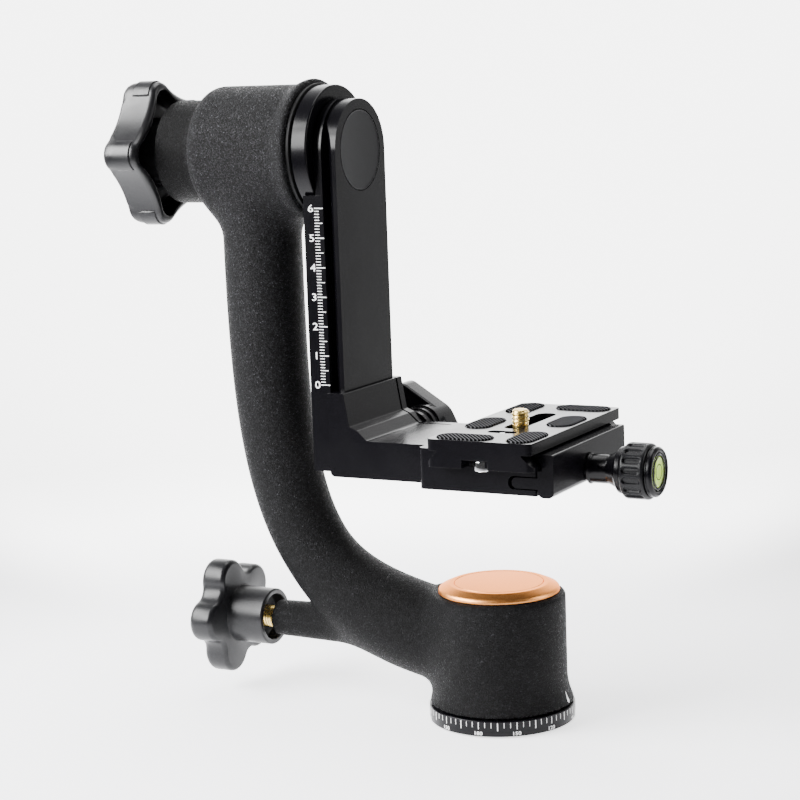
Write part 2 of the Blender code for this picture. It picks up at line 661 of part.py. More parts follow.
def make_arm():
    """One casting: lower hub, bent arm, upper hub with its neck, and the long boss for the pan lock."""
    foot_radius = HUB_RADIUS + FOOT_FLARE
    foot_shares = (0, 0.35, 0.6, 0.8, 0.95)
    flare = [
        (HUB_RADIUS + FOOT_FLARE * share**2, HUB_FOOT + FOOT_FLARE_HEIGHT * (1 - share))
        for share in foot_shares
    ]
    rim = arc(HUB_RADIUS - HUB_EDGE, HUB_TOP - HUB_EDGE, HUB_EDGE, 90, 0, 3)
    casting = turned(
        "arm_casting",
        [(0, HUB_TOP), *rim, *flare, (foot_radius, HUB_FOOT + BASE_EDGE), (foot_radius - BASE_EDGE, HUB_FOOT),
         (0, HUB_FOOT)],
        PAN_AXIS, "Z", CRINKLE_BLACK, 40,
    )
    left, right = TILT_HUB_LEFT, TILT_HUB_RIGHT
    shoulder = HUB_RADIUS - NECK_RADIUS
    swell = TILT_FLARE_RADIUS - HUB_RADIUS
    swell_shares = ((0.3, 0.4), (0.8, 0.75), (1.0, 1.0))
    flared = [(TILT_FLARE_RADIUS - swell * fall, right - TILT_FLARE_LENGTH * run)
              for fall, run in swell_shares]
    upper_hub = turned(
        "upper_hub",
        [(0, right), (TILT_FLARE_RADIUS - TILT_FLARE_EDGE, right),
         (TILT_FLARE_RADIUS, right - TILT_FLARE_EDGE), *flared,
         *arc(NECK_RADIUS, left + shoulder, shoulder, 0, -90, 4), (NECK_RADIUS, NECK_END), (0, NECK_END)],
        TILT_AXIS, "X", sides=40,
    )
    boss = turned(
        "pan_lock_boss",
        [(0, BOSS_ROOT), (BOSS_ROOT_RADIUS, BOSS_ROOT), (BOSS_END_RADIUS, BOSS_END), (0, BOSS_END)],
        BOSS_AXIS, "X", sides=SMALL_SIDES,
    )
    join(casting, arm_tube(), upper_hub, boss)
    bush_bore = PAN_SHAFT_RADIUS + GAP + BUSH_WALL + GAP
    recess_top = BASE_HEIGHT + GAP + THRUST_WASHER_THICKNESS + GAP
    flange_room = bush_bore + BUSH_FLANGE
    flange_depth = BUSH_FLANGE_THICKNESS + GAP
    pan_bore = turned(
        "pan_bore",
        [(0, HUB_TOP + OVERRUN), (CAP_RADIUS + GAP, HUB_TOP + OVERRUN),
         (CAP_RADIUS + GAP, HUB_TOP + CLOSE_GAP), (CAP_SPIGOT_RADIUS + GAP, HUB_TOP + CLOSE_GAP),
         (CAP_SPIGOT_RADIUS + GAP, HUB_RECESS_FLOOR),
         (flange_room, HUB_RECESS_FLOOR),
         (flange_room, HUB_RECESS_FLOOR - flange_depth), (bush_bore, HUB_RECESS_FLOOR - flange_depth),
         (bush_bore, recess_top + flange_depth), (flange_room, recess_top + flange_depth),
         (flange_room, recess_top), (THRUST_WASHER_RADIUS + GAP, recess_top),
         (THRUST_WASHER_RADIUS + GAP, HUB_FOOT - OVERRUN), (0, HUB_FOOT - OVERRUN)],
        PAN_AXIS, "Z",
    )
    seat = BEARING_RADIUS + GAP
    seat_depth = BEARING_WIDTH + 2 * GAP
    tilt_bore = turned(
        "tilt_bore",
        [(0, right + OVERRUN), (seat, right + OVERRUN), (seat, right - seat_depth),
         (HUB_BORE_RADIUS, right - seat_depth), (HUB_BORE_RADIUS, NECK_END + seat_depth),
         (seat, NECK_END + seat_depth), (seat, NECK_END - OVERRUN), (0, NECK_END - OVERRUN)],
        TILT_AXIS, "X",
    )
    rod_bore = rod("rod_bore", ROD_RADIUS + GAP, BOSS_END - OVERRUN, -PAN_SHAFT_RADIUS, BOSS_AXIS, "X")
    cut(casting, pan_bore, tilt_bore, rod_bore)


def make_pan_bearing():
    """Two flanged bronze bushes in the lower hub and the copper-coloured cap over the shaft's nut."""
    inner = PAN_SHAFT_RADIUS + GAP
    outer = inner + BUSH_WALL
    flange = outer + BUSH_FLANGE
    low = BASE_HEIGHT + 2 * GAP + THRUST_WASHER_THICKNESS
    high = HUB_RECESS_FLOOR - GAP
    lower = [(inner, low + BUSH_LENGTH), (outer, low + BUSH_LENGTH), (outer, low + BUSH_FLANGE_THICKNESS),
             (flange, low + BUSH_FLANGE_THICKNESS), (flange, low), (inner, low)]
    upper = [(inner, high), (flange, high), (flange, high - BUSH_FLANGE_THICKNESS),
             (outer, high - BUSH_FLANGE_THICKNESS), (outer, high - BUSH_LENGTH), (inner, high - BUSH_LENGTH)]
    turned("pan_lower_bush", lower, PAN_AXIS, "Z", BRONZE, 24, ring=True)
    turned("pan_upper_bush", upper, PAN_AXIS, "Z", BRONZE, 24, ring=True)
    edge_low = HUB_TOP + GAP
    drop = CAP_TOP - edge_low
    roll = CAP_RADIUS - CAP_FLAT_RADIUS
    roll_turns = (0, 25, 50, 72, 90)
    rolled = [
        (CAP_FLAT_RADIUS + roll * math.sin(a),
         edge_low + drop * (CAP_RIM_SHARE + (1 - CAP_RIM_SHARE) * math.cos(a)))
        for a in np.radians(roll_turns)
    ]
    ceiling = CAP_TOP - CAP_WALL
    spigot_low = HUB_TOP - CAP_SPIGOT_DEPTH
    turned(
        "pan_cap",
        [(0, CAP_TOP), *rolled, (CAP_RADIUS - BASE_EDGE, edge_low), (CAP_SPIGOT_RADIUS, edge_low),
         (CAP_SPIGOT_RADIUS, spigot_low), (CAP_SPIGOT_RADIUS - CAP_WALL, spigot_low),
         (CAP_SPIGOT_RADIUS - CAP_WALL, ceiling), (0, ceiling)],
        PAN_AXIS, "Z", COPPER, 32,
    )


def make_ball_bearing(name, middle):
    """A ball bearing on the tilt axis: outer ring, inner ring, and the balls in their cage."""
    half = BEARING_WIDTH / 2
    inner = SPINDLE_RADIUS + GAP
    outer_wall = BEARING_RADIUS - RING_THICKNESS
    inner_wall = inner + RING_THICKNESS
    groove = BALL_RADIUS + GAP
    turned(
        "tilt_outer_ring_" + name,
        [(BEARING_RADIUS, middle + half), (BEARING_RADIUS, middle - half), (outer_wall, middle - half),
         (outer_wall, middle - groove), (outer_wall + RACE_DEPTH, middle), (outer_wall, middle + groove),
         (outer_wall, middle + half)],
        TILT_AXIS, "X", STEEL, SMALL_SIDES, ring=True,
    )
    turned(
        "tilt_inner_ring_" + name,
        [(inner_wall, middle + half), (inner_wall, middle + groove), (inner_wall - RACE_DEPTH, middle),
         (inner_wall, middle - groove), (inner_wall, middle - half), (inner, middle - half),
         (inner, middle + half)],
        TILT_AXIS, "X", STEEL, SMALL_SIDES, ring=True,
    )
    track = (outer_wall + inner_wall) / 2
    cage = tube("tilt_ball_cage_" + name, track - CAGE_THICKNESS / 2, track + CAGE_THICKNESS / 2,
                middle - CAGE_WIDTH / 2, middle + CAGE_WIDTH / 2, TILT_AXIS, "X", BRONZE, SMALL_SIDES)
    room = min(BALL_RADIUS, (outer_wall - inner_wall) / 2 - CLOSE_GAP)
    shape = bmesh.new()
    for index in range(BALL_COUNT):
        angle = 2 * math.pi * (index + 0.5) / BALL_COUNT
        place = Matrix.Translation((middle, track * math.cos(angle), track * math.sin(angle)))
        bmesh.ops.create_uvsphere(shape, u_segments=6, v_segments=4, radius=room, matrix=place)
    mesh = bpy.data.meshes.new("balls_" + name)
    shape.to_mesh(mesh)
    shape.free()
    join(cage, add_object("balls_" + name, mesh, TILT_AXIS))


def make_tilt_bearings():
    front = TILT_HUB_RIGHT - GAP - BEARING_WIDTH / 2
    rear = NECK_END + GAP + BEARING_WIDTH / 2
    make_ball_bearing("front", front)
    make_ball_bearing("rear", rear)
    half = BEARING_WIDTH / 2 + GAP
    inner = SPINDLE_RADIUS + GAP
    tube("tilt_spacer", inner, inner + SPACER_WALL, rear + half, front - half, TILT_AXIS, "X", STEEL,
         SMALL_SIDES)
    washer_low = TILT_HUB_RIGHT + GAP
    tube("tilt_friction_washer", FRICTION_WASHER_BORE, FRICTION_WASHER_RADIUS, washer_low,
         washer_low + FRICTION_WASHER_THICKNESS, TILT_AXIS, "X", RUBBER_BLACK, 36)


def make_spindle():
    """The shaft through the upper hub, screwed to the rail's disc, with a thread for the tilt knob."""
    right = DISC_LEFT + SPINDLE_SOCKET_DEPTH - GAP
    left = PRESSURE_WASHER_LEFT - GAP - TILT_INSERT_LENGTH
    step = NECK_END + GAP
    hole = right - SPINDLE_SCREW_LENGTH - 2 * GAP
    turned(
        "tilt_spindle",
        [(0, hole), (SPINDLE_SCREW_RADIUS + GAP, hole), (SPINDLE_SCREW_RADIUS + GAP, right),
         (SPINDLE_RADIUS, right),
         (SPINDLE_RADIUS, step), (SPINDLE_THREAD_RADIUS, step), (SPINDLE_THREAD_RADIUS, left), (0, left)],
        TILT_AXIS, "X", STEEL, SMALL_SIDES,
    )


def make_rail():
    """Round disc on the spindle, and the rail in front of it: ruled flange, grooved web and face plate.

    The flange ends in a hollow below the disc; in front of the disc only a thin skin of it goes on, up to a
    round top.
    """
    socket = DISC_LEFT + SPINDLE_SOCKET_DEPTH
    screw_room = SPINDLE_SCREW_RADIUS + GAP
    turned(
        "pivot_disc",
        [(screw_room, DISC_RIGHT), (DISC_RADIUS - BASE_EDGE, DISC_RIGHT),
         (DISC_RADIUS, DISC_RIGHT - BASE_EDGE),
         (DISC_RADIUS, DISC_LEFT), (SPINDLE_RADIUS + GAP, DISC_LEFT), (SPINDLE_RADIUS + GAP, socket),
         (screw_room, socket)],
        TILT_AXIS, "X", SATIN_BLACK, 36, ring=True,
    )
    foot = RAIL_FOOT - TILT_HEIGHT
    rail = extruded("swing_rail", dome(RAIL_HALF, foot), DISC_RIGHT - OVERRUN, RAIL_FACE, TILT_AXIS, "X",
                    SATIN_BLACK)
    groove_start = DISC_RIGHT - 2 * OVERRUN
    groove = [(groove_start, RAIL_WEB_HALF), (RAIL_WEB_FRONT, RAIL_WEB_HALF), (RAIL_BACK_EDGE, RAIL_HALF),
              (RAIL_BACK_EDGE, RAIL_HALF + OVERRUN), (groove_start, RAIL_HALF + OVERRUN)]
    groove_top = TILT_HEIGHT + RAIL_HALF + OVERRUN
    cut(rail, *[extruded(f"rail_groove_{side}", [(x, side * y) for x, y in groove], RAIL_FOOT - OVERRUN,
                         groove_top, PAN_AXIS, "Z") for side in (1, -1)])
    flange = extruded("rail_flange", dome(FLANGE_HALF, foot), FLANGE_BACK, FLANGE_FRONT, TILT_AXIS, "X")
    above = (FLANGE_BACK - OVERRUN, -FLANGE_HALF - OVERRUN, FLANGE_TOP - TILT_HEIGHT)
    skin_back = (FLANGE_FRONT - FLANGE_SKIN, FLANGE_HALF + OVERRUN, FLANGE_HALF + OVERRUN)
    cut(flange, block("flange_relief", above, skin_back, TILT_AXIS))
    join(rail, flange)
    disc_room = rod("disc_room", DISC_RADIUS + GAP, DISC_LEFT - OVERRUN, DISC_RIGHT + GAP, TILT_AXIS, "X",
                    sides=40)
    recess = RAIL_FACE - INLAY_THICKNESS - GAP
    head_room = recess - SPINDLE_SCREW_HEAD_HEIGHT - 2 * GAP
    bore = turned(
        "rail_bore",
        [(0, RAIL_FACE + OVERRUN), (INLAY_RADIUS + GAP, RAIL_FACE + OVERRUN), (INLAY_RADIUS + GAP, recess),
         (SPINDLE_SCREW_HEAD + GAP, recess), (SPINDLE_SCREW_HEAD + GAP, head_room), (screw_room, head_room),
         (screw_room, DISC_RIGHT - OVERRUN), (0, DISC_RIGHT - OVERRUN)],
        TILT_AXIS, "X",
    )
    stop_hole = rod("stop_hole", STOP_SCREW_RADIUS / 2 + GAP, RAIL_FACE - STOP_SCREW_DEPTH - GAP,
                    RAIL_FACE + OVERRUN, (0, 0, STOP_SCREW_HEIGHT), "X", sides=12)
    cut(rail, disc_room, bore, stop_hole)
    head_top = recess - GAP
    head_low = head_top - SPINDLE_SCREW_HEAD_HEIGHT
    tip = head_low - SPINDLE_SCREW_LENGTH
    turned(
        "spindle_screw",
        [(0, head_top - HEX_SOCKET_DEPTH), (HEX_SOCKET_RADIUS, head_top - HEX_SOCKET_DEPTH),
         (HEX_SOCKET_RADIUS, head_top), (SPINDLE_SCREW_HEAD, head_top), (SPINDLE_SCREW_HEAD, head_low),
         (SPINDLE_SCREW_RADIUS, head_low), (SPINDLE_SCREW_RADIUS, tip), (0, tip)],
        TILT_AXIS, "X", STEEL, 18,
    )
    rod("inlay_disc", INLAY_RADIUS, RAIL_FACE - INLAY_THICKNESS, RAIL_FACE, TILT_AXIS, "X", INLAY_GREY, 40)
    turned(
        "height_stop_screw",
        [(0, RAIL_FACE + STOP_SCREW_STAND), (STOP_SCREW_RADIUS, RAIL_FACE + STOP_SCREW_STAND),
         (STOP_SCREW_RADIUS, RAIL_FACE + GAP), (STOP_SCREW_RADIUS / 2, RAIL_FACE + GAP),
         (STOP_SCREW_RADIUS / 2, RAIL_FACE - STOP_SCREW_DEPTH), (0, RAIL_FACE - STOP_SCREW_DEPTH)],
        (0, 0, STOP_SCREW_HEIGHT), "X", STEEL, 16,
    )


def dome(half, foot):
    """An upright outline with a round top about the tilt axis, as (y, z) from that axis."""
    return [(-half, foot), (half, foot), *arc(0, 0, half, 0, 180, 16)]


def make_tilt_clamp():
    """Washer and five-lobed knob on the spindle's thread; turned down, they press the hub on the disc."""
    washer = PRESSURE_WASHER_LEFT
    tube("tilt_pressure_washer", SPINDLE_THREAD_RADIUS + GAP, PRESSURE_WASHER_RADIUS, washer,
         washer + PRESSURE_WASHER_THICKNESS, TILT_AXIS, "X", STEEL, 24)
    outline = star_outline(TILT_KNOB_LOBES, TILT_LOBE_CIRCLE, TILT_LOBE_RADIUS, TILT_KNOB_WAIST)
    knob = extruded("tilt_knob", outline, TILT_KNOB_LEFT, TILT_KNOB_RIGHT, TILT_AXIS, "X", KNOB_BLACK)
    bevel(knob, KNOB_EDGE, 2)
    seat = washer - GAP
    hub_start = TILT_KNOB_RIGHT - OVERRUN
    hub = rod("tilt_knob_hub", TILT_KNOB_HUB_RADIUS, hub_start, seat, TILT_AXIS, "X", sides=24)
    join(knob, hub)
    insert_end = seat - TILT_INSERT_LENGTH
    bore_radius = TILT_INSERT_RADIUS + GAP
    bore = rod("tilt_knob_bore", bore_radius, insert_end - 2 * GAP, seat + OVERRUN, TILT_AXIS, "X", sides=24)
    pockets = []
    for index in range(TILT_KNOB_LOBES):
        angle = math.pi + 2 * math.pi * index / TILT_KNOB_LOBES
        place = (0, TILT_LOBE_CIRCLE * math.cos(angle), TILT_HEIGHT + TILT_LOBE_CIRCLE * math.sin(angle))
        pockets.append(rod(f"tilt_pocket_{index}", TILT_POCKET_RADIUS, TILT_KNOB_RIGHT - TILT_POCKET_DEPTH,
                           TILT_KNOB_RIGHT + TILT_POCKET_OVERRUN, place, "X", sides=12))
    cut(knob, bore, *pockets)
    tube("tilt_knob_insert", SPINDLE_THREAD_RADIUS + GAP, TILT_INSERT_RADIUS, insert_end, seat - GAP,
         TILT_AXIS, "X", BRASS, SMALL_SIDES)


def bracket_outline():
    """Side view, as (x, z): leaning upright, a ledge that rolls down, and the flat platform."""
    ledge = (UPRIGHT_BASE + STEP_LEDGE, UPRIGHT_ROOT - STEP_LEDGE_DROP)
    drop = ledge[1] - PLATFORM_TOP
    run_shares = (0.0, 0.18, 0.36, 0.54, 0.74, 1.0)
    fall_shares = (0.0, 0.07, 0.34, 0.72, 0.94, 1.0)
    rolled = [
        (ledge[0] + STEP_RUN * run, ledge[1] - drop * fall)
        for run, fall in zip(run_shares, fall_shares)
    ]
    end = CLAMP_LEFT + OVERRUN
    return [
        (BRACKET_BACK, BRACKET_FOOT), (end, BRACKET_FOOT), (end, PLATFORM_TOP), *rolled[::-1],
        (UPRIGHT_BASE, UPRIGHT_ROOT), (UPRIGHT_TIP, BRACKET_TOP), (BRACKET_BACK, BRACKET_TOP),
    ]


def make_bracket():
    """L-shaped bracket: it hooks round the rail at the back and ends in the fixed half of the clamp."""
    bracket = extruded("clamp_bracket", bracket_outline(), -BRACKET_HALF, BRACKET_HALF, PAN_AXIS, "Y",
                       SATIN_BLACK)
    lip_left = PLATE_LEFT - GAP
    slope_foot = PLATE_FOOT + DOVETAIL_LIP
    lip_tip = PLATE_LEFT + (CLAMP_TOP - slope_foot) - JAW_GAP
    body = [
        (CLAMP_LEFT, BRACKET_FOOT), (CLAMP_RIGHT - BASE_EDGE, BRACKET_FOOT),
        (CLAMP_RIGHT, BRACKET_FOOT + BASE_EDGE),
        (CLAMP_RIGHT, CLAMP_FLOOR), (lip_left, CLAMP_FLOOR), (lip_left, slope_foot), (lip_tip, CLAMP_TOP),
        (CLAMP_LEFT, CLAMP_TOP),
    ]
    clamp = extruded("clamp_body", body, -CLAMP_HALF, CLAMP_HALF, PAN_AXIS, "Y")
    join(bracket, clamp)
    web_half = RAIL_WEB_HALF + GAP
    near_side = [
        (BRACKET_BACK - OVERRUN, -web_half), (RAIL_WEB_FRONT - GAP, -web_half),
        (RAIL_BACK_EDGE - GAP, -CHANNEL_HALF), (CHANNEL_FACE, -CHANNEL_HALF),
    ]
    channel_outline = near_side + [(x, -y) for x, y in near_side[::-1]]
    low, high = BRACKET_FOOT - OVERRUN, BRACKET_TOP + OVERRUN
    channel = extruded("rail_channel", channel_outline, low, high, PAN_AXIS, "Z")
    slit = block("slit", (CHANNEL_FACE - GAP, CHANNEL_HALF - SLIT_WIDTH, low),
                 (SLIT_END, CHANNEL_HALF, high), PAN_AXIS)
    stop_room = STOP_SCREW_RADIUS + GAP
    stop_top = STOP_SCREW_HEIGHT + stop_room
    stop_face = RAIL_FACE + STOP_SCREW_STAND + GAP
    stop_slot = block("stop_slot", (CHANNEL_FACE - GAP, -stop_room, low), (stop_face, stop_room, stop_top),
                      PAN_AXIS)
    lock_bore = rod("lock_bore", LOCK_SCREW_RADIUS + GAP, LOCK_SCREW_START - GAP, BRACKET_HALF + OVERRUN,
                    LOCK_AXIS, "Y")
    slot_left = CLAMP_RIGHT + GAP - TONGUE_LENGTH - 2 * TONGUE_ROOM - BASE_EDGE
    slot_low = TONGUE_TOP - TONGUE_THICKNESS - TONGUE_ROOM
    slot = block("tongue_slot", (slot_left, -CLAMP_HALF - OVERRUN, slot_low),
                 (CLAMP_RIGHT + OVERRUN, CLAMP_HALF + OVERRUN, TONGUE_TOP + TONGUE_ROOM), PAN_AXIS)
    screw_bore = rod("clamp_screw_bore", CLAMP_SCREW_RADIUS + GAP, CLAMP_SCREW_START - GAP,
                     CLAMP_RIGHT + OVERRUN, CLAMP_AXIS, "X")
    cut(bracket, channel, slit, stop_slot, lock_bore, slot, screw_bore)


def wing_outline():
    """Two tapered wings on a round hub, as (x, z) from the lock's axis."""
    reach, tip, hub = LOCK_WING_REACH, LOCK_WING_TIP, LOCK_HUB_RADIUS
    lean = math.degrees(math.acos((hub - tip) / reach))
    points = []
    for turn in (LOCK_WING_ANGLE, LOCK_WING_ANGLE + 180):
        angle = math.radians(turn)
        centre = (reach * math.cos(angle), reach * math.sin(angle))
        points += arc(*centre, tip, turn - lean, turn + lean, 6)
        points += arc(0, 0, hub, turn + lean, turn + 180 - lean, 3)
    return points


def make_height_lock():
    """Screw, washer and winged knob that pull the slit jaw onto the rail."""
    tube("height_lock_washer", LOCK_SCREW_RADIUS + GAP, LOCK_WASHER_RADIUS, LOCK_SEAT,
         LOCK_SEAT + LOCK_WASHER_THICKNESS, LOCK_AXIS, "Y", STEEL, SMALL_SIDES)
    knob = extruded("height_lock_knob", wing_outline(), LOCK_WING_START, LOCK_END, LOCK_AXIS, "Y", KNOB_BLACK)
    bevel(knob, BASE_EDGE * 2, 2)
    collar = rod("height_lock_collar", LOCK_HUB_RADIUS, LOCK_COLLAR_START, LOCK_WING_START + OVERRUN,
                 LOCK_AXIS, "Y", sides=24)
    join(knob, collar)
    screw_end = LOCK_END - LOCK_WALL - GAP
    bore = rod("height_knob_bore", LOCK_SCREW_RADIUS + GAP, LOCK_COLLAR_START - OVERRUN, LOCK_END - LOCK_WALL,
               LOCK_AXIS, "Y")
    cut(knob, bore)
    rod("height_lock_screw", LOCK_SCREW_RADIUS, LOCK_SCREW_START, screw_end, LOCK_AXIS, "Y", STEEL, 16)


def make_jaw():
    """Moving half of the clamp, with the tongue that guides it in the body's slot."""
    inner = CLAMP_RIGHT + GAP + CLOSE_GAP
    slope_foot = PLATE_FOOT + DOVETAIL_LIP
    lip_right = PLATE_RIGHT + GAP
    lip_tip = PLATE_RIGHT - (CLAMP_TOP - slope_foot) + JAW_GAP
    tongue_low = TONGUE_TOP - TONGUE_THICKNESS
    tongue_radius = TONGUE_THICKNESS / 2
    tongue_left = inner - TONGUE_LENGTH
    outline = [
        *arc(inner + JAW_ROUND, JAW_FOOT + JAW_ROUND, JAW_ROUND, 180, 270, 3),
        *arc(JAW_RIGHT - JAW_ROUND, JAW_FOOT + JAW_ROUND, JAW_ROUND, 270, 360, 3),
        (JAW_RIGHT, CLAMP_TOP - BASE_EDGE),
        (JAW_RIGHT - BASE_EDGE, CLAMP_TOP), (lip_tip, CLAMP_TOP), (lip_right, slope_foot),
        (lip_right, CLAMP_FLOOR - GAP), (inner, CLAMP_FLOOR - GAP), (inner, TONGUE_TOP),
        *arc(tongue_left + tongue_radius, tongue_low + tongue_radius, tongue_radius, 90, 270, 4),
        (inner, tongue_low),
    ]
    jaw = extruded("clamp_jaw", outline, -CLAMP_HALF, CLAMP_HALF, PAN_AXIS, "Y", SATIN_BLACK)
    bore_radius = CLAMP_SCREW_RADIUS + GAP
    cut(jaw, rod("jaw_bore", bore_radius, tongue_left - OVERRUN, JAW_RIGHT + OVERRUN, CLAMP_AXIS, "X"))


def grip_outline():
    """The rubber ring's outside: one shallow hollow after another, with flat lands between."""
    depth_shares = (0, 1, 1, 0)
    turn_shares = (0.2, 0.38, 0.62, 0.8)
    step = 360 / GRIP_SLOTS
    points = []
    for index in range(GRIP_SLOTS):
        for share, turn in zip(depth_shares, turn_shares):
            angle = math.radians((index + turn) * step)
            radius = GRIP_RADIUS - GRIP_SLOT_DEPTH * share
            points.append((radius * math.cos(angle), radius * math.sin(angle)))
    return points


def make_clamp_knob():
    """Screw, waisted core, ribbed rubber grip, end ring and the round spirit level inside it."""
    rod("clamp_screw", CLAMP_SCREW_RADIUS, CLAMP_SCREW_START, CORE_END - 3 * GAP, CLAMP_AXIS, "X", STEEL, 16)
    start, neck_end = CLAMP_CORE_START, CLAMP_CORE_START + CLAMP_NECK_LENGTH
    washer_end = GRIP_START - GAP
    inner = CLAMP_SCREW_RADIUS + GAP
    waist = (washer_end - neck_end) / 2
    lip = CLAMP_WASHER_RADIUS - CLAMP_LIP_EDGE
    root = CLAMP_NECK_RADIUS + CLAMP_ROOT_FLARE
    turned(
        "clamp_knob_core",
        [(0, CORE_END), (SPIGOT_RADIUS, CORE_END), (SPIGOT_RADIUS, washer_end),
         (CLAMP_WASHER_RADIUS, washer_end), (CLAMP_WASHER_RADIUS, neck_end + waist),
         (lip, neck_end + waist / 2), (root, neck_end), (CLAMP_NECK_RADIUS, neck_end - waist),
         (CLAMP_NECK_RADIUS, start), (inner, start), (inner, CORE_END - GAP * 2), (0, CORE_END - GAP * 2)],
        CLAMP_AXIS, "X", SATIN_BLACK, 28,
    )
    grip = extruded("clamp_knob_grip", grip_outline(), GRIP_START, GRIP_END, CLAMP_AXIS, "X", RUBBER_BLACK)
    bore_radius = SPIGOT_RADIUS + GAP
    cut(grip, rod("grip_bore", bore_radius, GRIP_START - OVERRUN, GRIP_END + OVERRUN, CLAMP_AXIS, "X"))
    seat = VIAL_RADIUS + GAP
    floor = CORE_END + GAP + BEZEL_FLOOR
    turned(
        "clamp_knob_bezel",
        [(0, floor), (seat, floor), (seat, BEZEL_END), (BEZEL_RADIUS - BEZEL_EDGE, BEZEL_END),
         (BEZEL_RADIUS, BEZEL_END - BEZEL_EDGE), (BEZEL_RADIUS, GRIP_END + GAP),
         (SPIGOT_RADIUS, GRIP_END + GAP),
         (SPIGOT_RADIUS, CORE_END + GAP), (0, CORE_END + GAP)],
        CLAMP_AXIS, "X", SATIN_BLACK, 32,
    )
    cup_low = floor + GAP
    cup_high = BEZEL_END - GAP
    cup_inner = VIAL_RADIUS - VIAL_WALL
    turned(
        "level_cup",
        [(0, cup_low + VIAL_FLOOR), (cup_inner, cup_low + VIAL_FLOOR), (cup_inner, cup_high),
         (VIAL_RADIUS, cup_high), (VIAL_RADIUS, cup_low), (0, cup_low)],
        CLAMP_AXIS, "X", CLEAR, 28,
    )
    liquid_high = cup_high - LENS_THICKNESS - GAP
    rod("level_liquid", cup_inner - GAP, cup_low + VIAL_FLOOR + GAP, liquid_high, CLAMP_AXIS, "X", LIQUID, 28)
    rod("level_lens", cup_inner - GAP, liquid_high + GAP, cup_high, CLAMP_AXIS, "X", CLEAR, 28)


def dovetail_outline():
    """The plate's end view, as (x, z) from its middle: dovetail foot, neck and wide top."""
    foot, top = PLATE_FOOT, PLATE_TOP
    half, flange = DOVETAIL_WIDTH / 2, PLATE_WIDTH / 2
    neck = half - DOVETAIL_DEPTH
    right = [(half, foot), (half, foot + DOVETAIL_LIP), (neck, DOVETAIL_TOP), (neck, PLATE_NECK_TOP),
             (flange, PLATE_NECK_TOP), (flange, top)]
    return right + [(-x, z) for x, z in right[::-1]]


def pad_places():
    """Middle and direction of each pad, from the plate's middle; three mirror the other three through it."""
    first = (
        (PAD_END_X, PAD_END_Y, True), (PAD_SIDE_X, -PAD_SIDE_Y, False), (-PAD_SIDE_X, -PAD_MIDDLE_Y, False),
    )
    return [*first, *((-x, -y, along_x) for x, y, along_x in first)]


